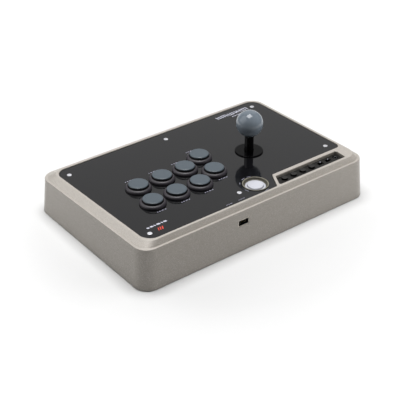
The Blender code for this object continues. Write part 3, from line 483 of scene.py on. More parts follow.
def case_paint():
    """Champagne paint with a fine metallic fleck over a faint orange peel, and painted shade: a lit colour
    where it faces up, a shaded colour on the sides.
    """
    look = Look("champagne_paint", 0.42, 0.25)
    flecks = look.cells(0.32)
    grain = look.noise(0.9, 4.0)
    # Painted shade: a lit copy and a shaded copy of the paint, mixed by how far the face looks up.
    lit_paint = look.colours(grain, (0.25, (166, 160, 153)), (0.75, (181, 175, 168)))
    shaded_paint = look.colours(grain, (0.25, (107, 102, 94)), (0.75, (121, 116, 108)))
    base = look.blend(look.spread(look.upward(), 0.3, 0.87, 0.45, 1.0), shaded_paint, lit_paint)
    bright = look.spread(flecks, 0.0, 0.45, 0.80, 1.0)
    dark = look.spread(flecks, 0.35, 0.0, 0.0, 0.16)
    flecked = look.blend(bright, base, (212, 207, 201))
    look.link("Base Color", look.blend(dark, flecked, (112, 105, 98)))
    look.link("Roughness", look.spread(look.noise(1.6), 0.36, 0.5, 0.3, 0.7))
    look.bump((flecks, 0.006), (look.noise(1.2, 2.0), 0.012))
    look.set(Coat_Weight=0.3, Coat_Roughness=0.22)
    return look.material, "case_paint"


def panel_acrylic():
    """Charcoal print under a gloss clear face, with the faintest haze of handling."""
    look = Look("panel_acrylic", 0.07)
    haze = look.noise(26.0, 5.0)
    specks = look.noise(0.6, 1.0)
    look.link("Base Color", look.colours(specks, (0.35, (10, 10, 12)), (0.65, (13, 13, 15))))
    look.link("Roughness", look.spread(haze, 0.05, 0.10, 0.35, 0.7))
    look.bump((look.noise(40.0, 1.0), 0.03))
    look.set(IOR=1.5)
    return look.material, "panel_acrylic"


def metal(name, colour, roughness, slot, grain=(0.4, 6.0, 0.4)):
    """Plated metal with a fine grain, by default drawn out into lines along Y."""
    look = Look(name, roughness, 1.0)
    scale = [1 / (size * MM) for size in grain]
    stretched = look.node("ShaderNodeMapping", {"Vector": look.place, "Scale": scale}).outputs["Vector"]
    lines = look.node("ShaderNodeTexNoise", {"Vector": stretched, "Scale": 1.0, "Detail": 3.0}).outputs["Fac"]
    look.link("Base Color", look.colours(lines, (0.3, tinted(colour, -14)), (0.7, tinted(colour, 8))))
    look.link("Roughness", look.spread(look.noise(4.0), roughness - 0.06, roughness + 0.1, 0.3, 0.7))
    look.bump((lines, 0.002))
    return look.material, slot


def rubber():
    """Matte rubber with a pebbled face."""
    look = Look("foot_rubber", 0.85)
    pebbles = look.noise(0.5, 3.0)
    look.link("Base Color", look.colours(pebbles, (0.3, (24, 24, 25)), (0.7, (40, 40, 41))))
    look.link("Roughness", look.spread(look.noise(3.0), 0.78, 0.92))
    look.bump((pebbles, 0.03))
    return look.material, "rubber"


def circuit_board():
    """Solder mask over traces, with bare pads and printed flecks."""
    look = Look("solder_mask", 0.35)
    brick_inputs = {
        "Vector": look.place, "Scale": 180.0, "Mortar Size": 0.035, "Brick Width": 0.9, "Row Height": 0.3,
        "Color1": linear((22, 84, 50)), "Color2": linear((28, 96, 58)), "Mortar": linear((46, 122, 72)),
    }
    traces = look.node("ShaderNodeTexBrick", brick_inputs).outputs["Color"]
    pads = look.spread(look.cells(1.7), 0.0, 1.0, 0.93, 0.95)
    look.link("Base Color", look.blend(pads, traces, (196, 190, 160)))
    look.link("Roughness", look.spread(look.noise(1.0), 0.28, 0.45))
    look.bump((pads, 0.02))
    return look.material, "circuit_board"


def insulated_wire():
    """Soft wire insulation with a lengthwise shine."""
    look = Look("wire_insulation", 0.5)
    grain = look.noise(0.7)
    look.link("Base Color", look.colours(grain, (0.3, (84, 20, 18)), (0.7, (108, 30, 27))))
    look.link("Roughness", look.spread(look.noise(3.0), 0.4, 0.6))
    look.bump((grain, 0.01))
    return look.material, "wire"


def ink(name, colour):
    """Screen-printed ink, slightly open in places."""
    look = Look(name, 0.45)
    grain = look.noise(0.25, 2.0)
    look.link("Base Color", look.colours(grain, (0.2, tinted(colour, -28)), (0.5, colour)))
    look.link("Roughness", look.spread(look.noise(0.8), 0.38, 0.55))
    look.bump((grain, 0.004))
    return look.material, "panel_acrylic"


def make_looks():
    """Every look, by name."""
    grey, rim, ring = "button_grey", "button_rim", "home_ring"
    return {
        "paint": case_paint(),
        "acrylic": panel_acrylic(),
        "grey": moulded("button_grey_gloss", (68, 77, 84), 0.3, 2.5, 0.0003, 1, grey),
        "ball": dull(moulded("ball_grey_gloss", (98, 106, 114), 0.06, 2.0, 0.0002, 1, grey), 0.34),
        "rim": moulded("button_rim_satin", (41, 38, 43), 0.48, 1.2, 0.0004, 1, rim),
        "skirt": moulded("button_skirt_black", (14, 14, 15), 0.4, 0.25, 0.004, 2, rim),
        "black": moulded("black_gloss_plastic", (9, 9, 10), 0.12, 1.5, 0.0005, 2),
        "port": metal("port_nickel", (226, 220, 208), 0.5, "steel", (0.6, 0.6, 0.6)),
        "washer": dull(moulded("washer_black_nylon", (3, 3, 4), 0.16, 1.5, 0.0005, 1), 0.09),
        "base": moulded("base_black_texture", (22, 22, 23), 0.55, 0.45, 0.03, 4),
        "strip": dull(moulded("strip_dark_satin", (31, 30, 29), 0.42, 0.6, 0.001, 3, "dark_strip")),
        # The option buttons' black sides are painted shade.
        "option": dull(lit_top_shaded_sides("option_button_satin", (38, 37, 36), (2, 2, 2), 0.4, "black_plastic")),
        "ring": moulded("home_ring_champagne", (128, 124, 110), 0.35, 0.5, 0.001, 4, ring),
        # The funnel is the ring's champagne, darkened as painted shade.
        "funnel": moulded("home_funnel_painted_shade", (80, 77, 66), 0.4, 0.5, 0.001, 4, ring),
        "white": moulded("home_white_gloss", (181, 182, 189), 0.22, 0.5, 0.0006, 2, "home_white"),
        "nylon": moulded("natural_nylon", (222, 218, 205), 0.45, 0.4, 0.006, 6, "nylon"),
        "steel": metal("zinc_steel", (150, 152, 155), 0.32, "steel"),
        "bright": metal("bright_nickel", (214, 214, 218), 0.55, "bright_steel", (0.5, 0.5, 0.5)),
        "gold": metal("contact_gold", (214, 178, 96), 0.25, "steel", (0.3, 2.0, 0.3)),
        "rubber": rubber(),
        "board": circuit_board(),
        "wire": insulated_wire(),
        "white_ink": ink("white_ink", (186, 187, 200)),
        "label_ink": ink("label_ink", (132, 131, 146)),
        "red_ink": ink("red_ink", (206, 62, 44)),
    }


# ---------------------------------------------------------------- case

PANEL_RADIUS = 15.2            # of the panel's three full corners
NOTCH_EDGE = 74.2              # where the panel ends in front of the option strip
RIM_HEIGHT = 0.9               # of the case's rim over the panel
RIM_OUTSIDE = 3.5              # the rim keeps the panel's middle, the ledge the case's
LEDGE_OUTSIDE = 9.6
LEDGE_HEIGHT = -5.1
SHELF_TOP = -5.1               # of the shelf that carries the panel
SHELF_WIDTH = 22.0
CAVITY_TOP = -8.1
POCKET_FLOOR = -5.0
POCKET_SHELF = 1.4             # width of the edge that carries the option strip
SCREW_HOLE = 1.8
BUTTON_HOLE = 15.1
LEVER_HOLE = 12.0
HOME_HOLE = 13.2               # in the case, under the panel
HOME_RING = 16.5               # radius of the ring round the home button
FOOT_SECTION = (               # (outside the panel's edge, height over the ground, corner radius)
    (15.4, 0.6, 18.5), (15.8, 0.75, 18.7), (16.0, 1.2, 18.8),
)
SHOULDER = (                   # (outside the panel's edge, height, edge radius), bottom to top
    (12.75, -11.0, 0.0), (12.4, LEDGE_HEIGHT, 0.6), (LEDGE_OUTSIDE, LEDGE_HEIGHT, 0.4),
    (RIM_OUTSIDE, RIM_HEIGHT, 0.8), (1.8, RIM_HEIGHT, 0.0),
)
CAVITY_FOOT = ((13.1, 0.2, 16.0), (13.0, 2.0, 16.0))
CAVITY_SECTION = ((9.0, CAVITY_TOP - 1.5, 15.0), (7.2, CAVITY_TOP, 14.0))
POCKET = ((-46.6, 80.2, 2.0), (-36.9, 98.3, 1.6), (-149.8, 98.3, 2.0), (-151.0, 80.2, 2.0))
ROLL = math.radians(78)        # how far a rounded-over edge turns


def panel_corners():
    """Corners of the panel, with its notch for the option strip, from the front left."""
    return [
        (-PANEL_HALF_X, -PANEL_HALF_Y, PANEL_RADIUS),
        (PANEL_HALF_X, -PANEL_HALF_Y, PANEL_RADIUS),
        (PANEL_HALF_X, PANEL_HALF_Y, PANEL_RADIUS),
        (-31.5, PANEL_HALF_Y, 2.0),
        (-45.0, NOTCH_EDGE, 4.0),
        (-PANEL_HALF_X, NOTCH_EDGE, 8.0),
    ]


def case_outline(outside, radius):
    """Rounded rectangle some distance outside the panel, its middle moved out to the case's."""
    share = min(max((outside - RIM_OUTSIDE) / (LEDGE_OUTSIDE - RIM_OUTSIDE), 0.0), 1.0)
    half_x = PANEL_HALF_X + outside
    half_y = PANEL_HALF_Y + outside
    return rounded_loop(rectangle(half_x, half_y, radius, CASE_CENTRE * share))


def case_radius(outside):
    """Corner radius of the case's shoulder: it eases inwards with the outline."""
    return 16.7 + 0.13 * (outside - 3.2)


def foot_loops(section):
    """Loops that lie level with the ground."""
    loops = []
    for outside, height, radius in section:
        loops.append([above_ground(x, y, height) for x, y in case_outline(outside, radius)])
    return loops


def edge_cutter(corners, low, high, ease, flare):
    """Tool that cuts a pocket with some ease round it and rounds its upper edge over."""
    section = [(ease, low)]
    for step in range(EDGE_STEPS + 1):
        angle = ROLL * step / EDGE_STEPS
        section.append((ease + flare * (1 - math.cos(angle)), high - flare + flare * math.sin(angle)))
    section.append((section[-1][0], high + THROUGH + 1.0))
    return loft([lifted(rounded_loop(grown(corners, out)), height) for out, height in section])


def add_case_shell(looks):
    """Painted upper case: walls, shoulder, rim, recess for the panel, and the strip's pocket."""
    outer = foot_loops(FOOT_SECTION)
    for outside, height in rounded_path(SHOULDER, 5):
        outer.append(lifted(case_outline(outside, case_radius(outside)), height))
    cavity = foot_loops(CAVITY_FOOT)
    cavity += [lifted(case_outline(outside, radius), height) for outside, height, radius in CAVITY_SECTION]
    recess = edge_cutter(panel_corners(), SHELF_TOP, RIM_HEIGHT, GAP, 0.4)
    below = CAVITY_TOP - 2.0
    opening = plate(rounded_loop(grown(panel_corners(), -SHELF_WIDTH)), below, THROUGH)
    pocket = edge_cutter(POCKET, POCKET_FLOOR, RIM_HEIGHT, 0.0, 1.0)
    pocket_window = plate(rounded_loop(grown(POCKET, -POCKET_SHELF)), below, THROUGH)
    home = plate(circle(HOME_HOLE, HOME_PLACE, 32), below, THROUGH)
    low, high = span("usb_port")
    usb_window = rounded_box(low - Vector((1.5, 0.0, 1.4)), high + Vector((1.5, 8.0, 1.4)), 0.8)
    screws = [plate(circle(SCREW_HOLE, place, 16), SHELF_TOP - 6.0, THROUGH) for place in SCREW_PLACES]
    tools = [loft(cavity), recess, opening, pocket, pocket_window, home, usb_window, *screws]
    shell = cut(loft(outer), *tools)
    add_piece("case_shell", shell, looks["paint"], nodes=["top_housing"])


def add_panel(looks):
    """Gloss panel with rounded edges and every hole that the controls need."""
    lower_edge = ((0.5, -PANEL_THICKNESS), (0.12, -2.85), (0.0, -2.5))
    upper_edge = ((0.0, -0.45), (0.13, -0.13), (0.45, 0.0))
    loops = []
    for inset, height in (*lower_edge, *upper_edge):
        loops.append(lifted(rounded_loop(grown(panel_corners(), -inset)), height))
    drills = [(BUTTON_HOLE, place, 48) for place in BUTTON_PLACES]
    drills += [(HOME_RING - 0.7, HOME_PLACE, ROUND), (LEVER_HOLE, LEVER_PLACE, 48)]
    drills += [(SCREW_HOLE, place, 16) for place in SCREW_PLACES]
    holes = [plate(circle(*drill), -PANEL_THICKNESS - THROUGH, THROUGH) for drill in drills]
    add_piece("gloss_panel", cut(loft(loops), *holes), looks["acrylic"], nodes=["panel_cover"])


def add_panel_screws(looks):
    """Flat-headed screws with a shallow hexagon socket."""
    end = span("panel_screw_1")[0].z
    shank, radius, top = 1.5, 3.0, 0.55
    profile = [
        (0, end, 0), (shank, end + shank, 0), (shank, GAP, 0), (radius, GAP, 0),
        (radius, top - 0.1, 0.1), (radius - 0.4, top, 0.3), (0, top, 0),
    ]
    socket = plate(circle(1.0, segments=6), top - 0.2, top + 1.0)
    screw = cut(turned(profile, segments=40), socket)
    repeat_piece("socket_screw", screw, looks["bright"], SCREW_PLACES, nodes=PANEL_SCREWS)


# ---------------------------------------------------------------- buttons

SWITCH_HEIGHT = 6.5            # of the microswitch under a button's barrel
BARREL_FLOOR = 2.0             # thickness of the barrel's floor


def microswitch(x, y, floor):
    """Box of the microswitch, let into the floor of a button's barrel."""
    return rounded_box((x - 6.4, y - 3.0, floor - SWITCH_HEIGHT), (x + 6.4, y + 3.0, floor + 1.0), 0.4)


def add_button_rims(looks):
    """Rounded rims, each on its barrel and microswitch."""
    low, high = span("button_housing_1")
    rim = (high.x - low.x) / 2
    top = high.z
    bore, barrel = 12.9, 14.8
    crest, crest_foot = 13.5, 0.9
    floor = low.z + SWITCH_HEIGHT
    inside = floor + BARREL_FLOOR
    housing = turned([
        (0, inside, 0), (bore, inside, 0), (bore, top - 1.0, 0), (bore + 0.25, top - 0.25, 0.3),
        *swept((crest, crest_foot), (rim - crest, top - crest_foot), 90, 0, 12), (rim, GAP, 0.3),
        (barrel, GAP, 0), (barrel, floor, 0.4), (0, floor, 0),
    ])
    housing = join(housing, microswitch(0.0, 0.0, floor))
    nodes = numbered("button_housing", 8)
    repeat_piece("button_rim", housing, looks["rim"], BUTTON_PLACES, nodes=nodes)


def add_button_caps(looks):
    """Grey caps with a rounded edge, each on a black skirt."""
    low, high = span("button_plunger_1")
    radius = (high.x - low.x) / 2
    easing, inset, wall, seam = 1.1, 0.05, 1.5, 0.02
    joint = high.z - easing
    edge = swept((radius - inset - easing, joint), (easing, easing), 90, 0, 8)
    cap = turned([(0, high.z, 0), *edge, (0, joint, 0)])
    skirt = turned([
        (0, joint - seam, 0), (radius, joint - seam, 0.2), (radius, low.z, 0.2),
        (radius - wall, low.z, 0.2), (radius - wall, joint - wall, 0.3), (0, joint - wall, 0),
    ])
    bodies = numbered("button", 8)
    repeat_piece("button_cap", cap, looks["grey"], BUTTON_PLACES, bodies, PLUNGERS)
    repeat_piece("button_skirt", skirt, looks["skirt"], BUTTON_PLACES, bodies)


def add_home_button(looks):
    """Champagne ring with a funnel painted in a darker champagne as shade, white housing and white plunger.
    """
    ring = HOME_RING
    bezel = turned([
        (ring - 1.0, GAP, 0), (ring, GAP, 0.1), (ring, 1.0, 0.4), (ring - 0.85, 1.05, 0.25),
        (ring - 1.0, -2.9, 0.1), (ring - 1.25, -2.9, 0.0), (ring - 1.1, GAP - 0.01, 0),
    ], HOME_PLACE)
    add_piece("home_ring", bezel, looks["ring"], nodes=["home_bezel"])
    # The funnel's darker colour is painted shade inside the ring.
    funnel = turned([
        (ring - 1.3, 0.45, 0), (ring - 1.1, 0.45, 0.1), (14.7, -2.2, 0.5), (13.7, -2.6, 0.1),
        (13.7, -2.85, 0.1), (ring - 1.4, -2.85, 0), (ring - 1.45, 0.4, 0),
    ], HOME_PLACE)
    add_piece("home_funnel", funnel, looks["funnel"])
    low, high = span("home_housing")
    bore, rim, barrel = 10.2, 13.0, 11.7
    floor = low.z + SWITCH_HEIGHT
    inside = floor + BARREL_FLOOR
    housing = turned([
        (0, inside, 0), (bore, inside, 0), (bore, high.z - 0.4, 0.4), (bore + 0.7, high.z, 0.5),
        (rim, high.z, 0.9), (rim, -3.0, 0.1), (barrel, -3.0, 0.1), (barrel, floor, 0.4), (0, floor, 0),
    ], HOME_PLACE)
    housing = join(housing, microswitch(*HOME_PLACE, floor))
    add_piece("home_body", housing, looks["white"], nodes=["home_housing"])
    low, high = span("home_plunger")
    radius = 9.8
    plunger = turned([
        (0, high.z, 0), (6.0, high.z - 0.12, 9.0), (radius, high.z - 0.75, 0.9), (radius, low.z, 0.4),
        (0, low.z, 0),
    ], HOME_PLACE)
    add_piece("home_cap", plunger, looks["white"], "home_button", ["home_plunger"])


# ---------------------------------------------------------------- option strip and sockets


STRIP_BUTTONS = numbered("strip_button", 4)
STRIP_BUTTON_PLACES = [middle(node) for node in STRIP_BUTTONS]
KNOBS = numbered("slide_switch_knob", 2)
KNOB_PLACES = [middle(node) for node in KNOBS]
JACK_PLACE = middle("headset_jack")


def add_option_strip(looks):
    """Recessed strip with holes for the buttons, the jack and the slide switches."""
    low, high = span("strip_panel")
    holes = [circle(4.5, place, 40) for place in STRIP_BUTTON_PLACES]
    holes.append(circle(3.9, JACK_PLACE, 32))
    holes += [rounded_loop(rectangle(4.4, 2.6, 0.9, place), 3) for place in KNOB_PLACES]
    strip = plate(rounded_loop(grown(POCKET, -GAP)), low.z, high.z, holes)
    add_piece("strip_face", strip, looks["strip"], nodes=["strip_panel"])


def add_option_buttons(looks):
    """Round buttons, each with a flange behind the strip."""
    low, high = span("strip_button_1")
    radius, flange = 4.1, 5.0
    step = span("strip_panel")[0].z - 1.0
    button = turned([
        (0, high.z, 0), (radius, high.z, 0.25),
        (radius, step, 0.1), (flange, step, 0.1), (flange, low.z, 0.2), (0, low.z, 0),
    ], segments=48)
    bodies = numbered("option_button", 4)
    repeat_piece("option_button", button, looks["option"], STRIP_BUTTON_PLACES, bodies, STRIP_BUTTONS)


def add_slide_switches(looks):
    """Grooved knobs on a foot behind the strip, each with a white mark."""
    low, high = span("slide_switch_knob_1")
    stem = rounded_box((-1.9, -1.6, low.z + 0.5), (1.9, 1.6, high.z), 0.35)
    foot = rounded_box((-3.1, -2.8, low.z), (3.1, 2.8, low.z + 1.4), 0.2)
    grooves = [rounded_box((x - 0.2, -2.0, high.z - 0.3), (x + 0.2, 2.0, high.z + 1), 0.1)
               for x in (-0.8, 0.0, 0.8)]
    knob = cut(join(stem, foot), *grooves)
    bodies = numbered("option_switch", 2)
    repeat_piece("slide_knob", knob, looks["washer"], KNOB_PLACES, bodies, KNOBS)
    outline = rounded_loop(rectangle(0.9, 0.35, 0.1, (-0.4, -0.9)), 2)
    mark = plate(outline, high.z + INK_FOOT, high.z + INK_TOP)
    repeat_piece("slide_mark", mark, looks["white_ink"], KNOB_PLACES, bodies)


def add_headset_jack(looks):
    """Black jack with a steel sleeve round its bore."""
    low, high = span("headset_jack")
    flange, neck, bore = 4.4, 3.6, 1.8
    step = span("strip_panel")[0].z - GAP
    face = high.z - 0.9
    jack = turned([
        (0, low.z, 0), (flange, low.z, 0.3), (flange, step, 0.1), (neck, step, 0.1),
        (neck, face, 0.35), (bore + 0.3, face, 0.35), (bore, face - 0.6, 0.1), (bore, low.z + 1.5, 0),
        (0, low.z + 1.5, 0),
    ], JACK_PLACE, 40)
    add_piece("headset_socket", jack, looks["washer"], nodes=["headset_jack"])
    sleeve = turned([
        (bore, face, 0), (2.2, face + 0.05, 0), (2.2, face + 0.2, 0.1), (1.9, face + 0.2, 0.1),
        (bore, face + 0.01, 0),
    ], JACK_PLACE, 40)
    add_piece("headset_sleeve", sleeve, looks["steel"])


def along_y(centre_x, centre_z, half_width, half_height, radius, start, end):
    """Rounded bar that runs along Y."""
    corners = rectangle(half_width, half_height, radius, (centre_x, -centre_z))
    mesh = plate(rounded_loop(corners, 4), start, end)
    mesh.transform(Matrix.Rotation(-math.pi / 2, 4, "X"))
    return mesh


def add_usb_socket(looks):
    """Metal shell with a flared mouth, a black lining, and a tongue with four contacts."""
    low, high = span("usb_port")
    centre = (low + high) / 2
    half_x, _, half_z = (high - low) / 2
    mouth = high.y + 0.3
    past = high.y + THROUGH

    def bar(half_width, half_height, radius, start, end):
        """Bar round the socket's middle."""
        return along_y(centre.x, centre.z, half_width, half_height, radius, start, end)

    lips = bar(half_x + 1.2, half_z + 1.0, 1.2, high.y - 2.5, mouth)
    inside = bar(6.6, 2.75, 0.5, low.y + 1.5, past)
    flare = bar(half_x + 0.6, half_z + 0.4, 0.9, high.y - 1.9, past)
    shell = cut(join(bar(half_x, half_z, 0.9, low.y, high.y - 1.0), lips), inside, flare)
    add_piece("usb_shell", shell, looks["port"], nodes=["usb_port"])
    lining = cut(bar(half_x + 0.55, half_z + 0.35, 0.9, high.y - 1.8, mouth - 0.35),
                 bar(6.3, 2.5, 0.5, high.y - 3.0, past))
    add_piece("usb_lining", lining, looks["washer"])
    tongue = along_y(centre.x, centre.z + 1.05, 5.5, 0.95, 0.2, low.y + 1.5, high.y - 3.5)
    add_piece("usb_tongue", tongue, looks["black"])
    pitch = 2.4
    for number in range(4):
        x = centre.x + (number - 1.5) * pitch
        pad = rounded_box((x - 0.5, low.y + 2.0, centre.z), (x + 0.5, high.y - 3.8, centre.z + 0.09), 0.02)
        add_piece(f"usb_contact_{number + 1}", pad, looks["gold"])


# ---------------------------------------------------------------- lever


LEVER_BORE = 4.9               # radius of the bore through the ball's foot and the tube


def add_ball(looks):
    """Ball with a flat foot, on the stick."""
    low, high = span("ball_top")
    radius = (high.x - low.x) / 2
    centre = high.z - radius
    foot_radius = 6.4
    first = -math.acos(foot_radius / radius)
    body = turned([
        (0, centre, 0), (LEVER_BORE, centre, 0), (LEVER_BORE, centre + radius * math.sin(first), 0),
        *swept((0, centre), (radius, radius), math.degrees(first), 89, 40), (0, high.z, 0),
    ], LEVER_PLACE, 80)
    add_piece("ball_knob", body, looks["ball"], "stick", ["ball_top"])


def add_lever_tube(looks):
    """Cover of the shaft, from the panel to the ball."""
    low, high = span("shaft_cover")
    radius = (high.x - low.x) / 2
    tube = turned([
        (LEVER_BORE, low.z, 0), (radius, low.z, 0.3), (radius, high.z, 0.3), (LEVER_BORE, high.z, 0.1),
        (LEVER_BORE, low.z + 0.01, 0),
    ], LEVER_PLACE)
    add_piece("lever_tube", tube, looks["black"], "stick", ["shaft_cover"])


def add_dust_washer(looks):
    """Thin disc that slides on the panel with the shaft."""
    low, high = span("dust_washer")
    radius, bore = (high.x - low.x) / 2, 6.4
    disc = turned([
        (bore, low.z, 0), (radius, low.z, 0.2), (radius, high.z - 0.1, 0.45), (radius - 1.2, high.z, 0.6),
        (bore + 1.0, high.z, 0.3), (bore, high.z - 0.2, 0.2), (bore, low.z + 0.01, 0),
    ], LEVER_PLACE, 96)
    add_piece("washer_disc", disc, looks["washer"], "washer", ["dust_washer"])


# ---------------------------------------------------------------- prints


def slanted_bar(x, y, width, height, slant=0.0):
    """Low block of ink, its top edge pushed sideways."""
    outline = [(x, y), (x + width, y), (x + width + slant, y + height), (x + slant, y + height)]
    return plate([Vector(point) for point in outline], INK_FOOT, INK_TOP)


def arc_bar(centre, radius, width, first, last):
    """Low curved block of ink, between two angles in degrees."""
    outer = swept(centre, (radius + width, radius + width), first, last, 8)
    inner = swept(centre, (radius, radius), last, first, 8)
    return plate([Vector(point[:2]) for point in outer + inner], INK_FOOT, INK_TOP)


def print_piece(name, bars, look):
    """All bars of one print as one piece."""
    mesh = bars[0]
    for other in bars[1:]:
        holder = bpy.data.meshes.new("ink")
        other.to_mesh(holder)
        other.free()
        mesh.from_mesh(holder)
        bpy.data.meshes.remove(holder)
    add_piece(name, mesh, look)


def bar_row(x, y, widths, gap, height, slant=0.0):
    """Row of bars from left to right."""
    bars = []
    for width in widths:
        bars.append(slanted_bar(x, y, width, height, slant))
        x += width + gap
    return bars


TITLE_CORNER = (-141.0, -90.4)
TITLE_LINES = ((-139.0, -90.4, 9.0), (-126.0, -87.6, 6.0), (-118.5, -85.1, 8.0), (-104.0, -90.4, 6.5))
HOME_ARCS = ((248, 264), (274, 292), (312, 324), (8, 24), (88, 104))


def add_white_print(looks):
    """Plain bars in the places of the panel's title and mark."""
    bars = bar_row(*TITLE_CORNER, (1.4,) * 14, 2.6, 6.2, -1.6)
    bars += [slanted_bar(x, y, width, 0.9) for x, y, width in TITLE_LINES]
    bars += bar_row(-128.0, -80.4, (1.0, 1.7) * 4, 1.2, 1.8, -0.5)
    bars += bar_row(122.0, 75.6, (4.0, 2.0, 5.0, 2.0, 4.0, 3.0), 1.6, 2.6, -1.0)
    print_piece("panel_print_white", bars, looks["white_ink"])


def add_label_print(looks):
    """Short bars for the labels of the controls, and arcs round the home button."""
    bars = bar_row(17.0, 94.2, (2.0, 3.4, 2.0), 1.0, 0.8) + bar_row(36.0, 94.2, (3.0, 2.0, 2.6), 1.0, 0.8)
    bars += [arc_bar(HOME_PLACE, 18.9, 0.7, first, last) for first, last in HOME_ARCS]
    half = len(BUTTON_PLACES) // 2
    for places, start, rise in ((BUTTON_PLACES[:half], -5.5, 18.6), (BUTTON_PLACES[half:], -8.5, -22.6)):
        for x, y in places:
            bars += bar_row(x + start, y + rise, (2.2, 3.4, 2.2, 1.6), 1.3, 1.5)
    print_piece("panel_print_labels", bars, looks["label_ink"])


def add_red_print(looks):
    """Three slanted red bars beside the mark."""
    bars = bar_row(131.5, 83.0, (1.5, 1.3, 0.9), 1.7, 5.6, 2.6)
    print_piece("panel_print_red", bars, looks["red_ink"])


# ---------------------------------------------------------------- underside


BASE_HEAD = 1.0                # height of the base screws' heads, less than the feet's


def add_base_screws(looks):
    """Cross-head screws under the panel's four corner screws."""
    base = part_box("base_plate")[0].z / MM
    corners = sorted(SCREW_PLACES, key=lambda place: -abs(place[0]))[:4]
    shank, radius, length, slot, slot_half = 1.5, 3.0, 9.0, 1.7, 0.3
    for number, (x, y) in enumerate(corners, start=1):
        place = TO_MODEL @ above_ground(x, y, base - BASE_HEAD)
        screw = turned([
            (0, 0, 0), (radius - 1.0, 0, 0.6), (radius, 0.6, 0.3), (radius, BASE_HEAD - 0.02, 0.1),
            (shank, BASE_HEAD, 0), (shank, length, 0.5), (0, length, 0),
        ], segments=32)
        cross = [rounded_box((-along, -across, -1.0), (along, across, 0.5), 0.1)
                 for along, across in ((slot, slot_half), (slot_half, slot))]
        screw = cut(screw, *cross)
        screw.transform(TO_PANEL @ Matrix.Translation(place) @ Matrix.Scale(MM, 4))
        add_piece(f"base_screw_{number}", screw, looks["bright"])


def add_feet(looks):
    """Round rubber feet, each with a shallow dish in its underside."""
    for number in range(1, 5):
        node = f"foot_{number}"
        low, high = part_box(node)
        centre = (low + high) / 2
        radius = (high.x - low.x) / 2 / MM
        tall = (high.z - low.z) / MM
        foot = turned([
            (0, 0.25, 0), (radius - 3.0, 0.25, 0.2), (radius - 2.6, 0, 0.2), (radius - 0.4, 0, 0.4),
            (radius, 0.5, 0.3), (radius, tall, 0.2), (0, tall, 0),
        ])
        foot.transform(TO_PANEL @ Matrix.Translation((centre.x, centre.y, low.z)) @ Matrix.Scale(MM, 4))
        add_piece(f"rubber_foot_{number}", foot, looks["rubber"], nodes=[node])


# ---------------------------------------------------------------- what the CAD shows

CAD_LOOKS = {
    "base": ["base_plate"],
    "steel": ["mounting_plate", "stick_mount_plate", "e_clip"],
    "bright": ["lever_shaft", "centring_spring"],
    "black": ["inner_dust_washer", "stick_body", "restrictor_gate"],
    "board": ["strip_board", "main_board", "switch_board"],
    "wire": ["lever_harness", "strip_harness"],
    "nylon": ["gimbal_ring", "lever_pivot", "actuator"],
}


def finish_cad_nodes(looks):
    """Materials for the CAD pieces that stay as they are."""
    for name, nodes in CAD_LOOKS.items():
        material, slot = looks[name]
        for node in nodes:
            piece = frame["nodes"][node]
            piece.data.materials.clear()
            piece.data.materials.append(material)


# ---------------------------------------------------------------- studio

CAMERA_TARGET = (62.3, 65.3, 0.0)       # in the panel's frame
CAMERA_AZIMUTH = 141.6
CAMERA_ELEVATION = 31.48
CAMERA_DISTANCE = 1282.3
CAMERA_LENS = 95.97
SENSOR = 36.0


def add_camera():
    """Camera at the back right of the panel, in the panel's frame."""
    azimuth = math.radians(CAMERA_AZIMUTH)
    elevation = math.radians(CAMERA_ELEVATION)
    level = Vector((math.sin(azimuth), -math.cos(azimuth), 0.0))
    back = level * math.cos(elevation) + Vector((0.0, 0.0, math.sin(elevation)))
    right = Vector((math.cos(azimuth), math.sin(azimuth), 0.0))
    up = back.cross(right)
    place = Vector(CAMERA_TARGET) + back * CAMERA_DISTANCE
    turn = Matrix((right, up, back)).transposed().to_4x4()
    data = bpy.data.cameras.new("camera")
    data.lens = CAMERA_LENS
    data.sensor_width = SENSOR
    data.clip_start = 0.05
    data.clip_end = 30.0
    camera = bpy.data.objects.new("camera", data)
    camera.matrix_world = PANEL @ Matrix.Translation(place * MM) @ turn
    bpy.context.scene.collection.objects.link(camera)
    bpy.context.scene.camera = camera


def add_softbox(name, direction, distance, size, radiance, diffuse=True, glossy=True):
    """Square soft light that faces the object, seen in its diffuse light, its reflections or both."""
    data = bpy.data.lights.new(name, "AREA")
    data.shape = "SQUARE"
    data.size = size
    data.energy = radiance * math.pi * size * size
    light = bpy.data.objects.new(name, data)
    towards = Vector(direction).normalized()
    light.location = towards * distance
    light.rotation_euler = towards.to_track_quat("Z", "Y").to_euler()
    light.visible_diffuse = diffuse
    light.visible_glossy = glossy
    bpy.context.scene.collection.objects.link(light)


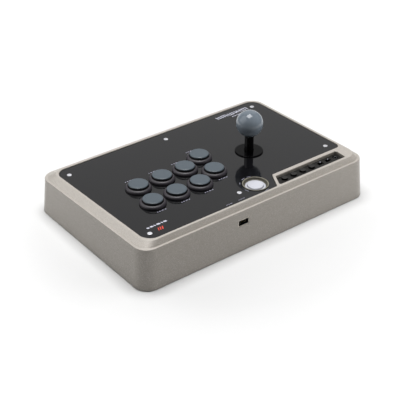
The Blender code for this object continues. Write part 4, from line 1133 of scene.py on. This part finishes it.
def add_floor():
    """Large whitish floor under the feet, with painted light: paler further out, where less light reaches it.
    """
    mesh = bmesh.new()
    bmesh.ops.create_grid(mesh, x_segments=1, y_segments=1, size=6.0)
    data = bpy.data.meshes.new("floor")
    mesh.to_mesh(data)
    mesh.free()
    look = Look("floor_white", 0.9)
    near = look.colours(look.noise(400.0), (0.3, (206, 206, 206)), (0.7, (210, 210, 210)))
    reach = look.node("ShaderNodeVectorMath", {0: look.place}, operation="LENGTH").outputs["Value"]
    # Painted light: the floor's colour rises from grey near the middle to near white far out.
    look.link("Base Color", look.blend(look.spread(reach, 0.0, 1.0, 0.22, 0.6), near, (250, 250, 250)))
    data.materials.append(look.material)
    floor = bpy.data.objects.new("floor", data)
    bpy.context.scene.collection.objects.link(floor)


def add_studio():
    """Floor, faint even surroundings and five soft lights."""
    add_floor()
    world = bpy.data.worlds.new("studio")
    world.use_nodes = True
    background = world.node_tree.nodes["Background"]
    background.inputs["Color"].default_value = (1.0, 1.0, 1.0, 1.0)
    background.inputs["Strength"].default_value = 0.05
    bpy.context.scene.world = world
    bpy.context.scene.view_settings.view_transform = "Standard"
    add_softbox("key_overhead", (0.0, -0.05, 1.0), 1.6, 0.9, 12.5)
    add_softbox("side_right", (0.55, -0.75, 0.30), 0.95, 0.8, 3.2, glossy=False)
    add_softbox("window", (0.66, -0.435, 0.61), 1.1, 1.05, 1.6, diffuse=False)
    add_softbox("far_backdrop", (-0.53, -0.668, 0.45), 2.2, 2.4, 0.55)
    add_softbox("side_left", (-0.75, 0.55, 0.30), 0.95, 0.8, 3.6, glossy=False)


# ---------------------------------------------------------------- all together


def main():
    """Build every piece and the studio."""
    looks = make_looks()
    add_camera()
    for add_pieces in (
        add_case_shell, add_panel, add_panel_screws, add_button_rims, add_button_caps, add_home_button,
        add_option_strip, add_option_buttons, add_slide_switches, add_headset_jack, add_usb_socket,
        add_ball, add_lever_tube, add_dust_washer, add_white_print, add_label_print, add_red_print,
        add_base_screws, add_feet, finish_cad_nodes,
    ):
        add_pieces(looks)
    add_studio()


main()
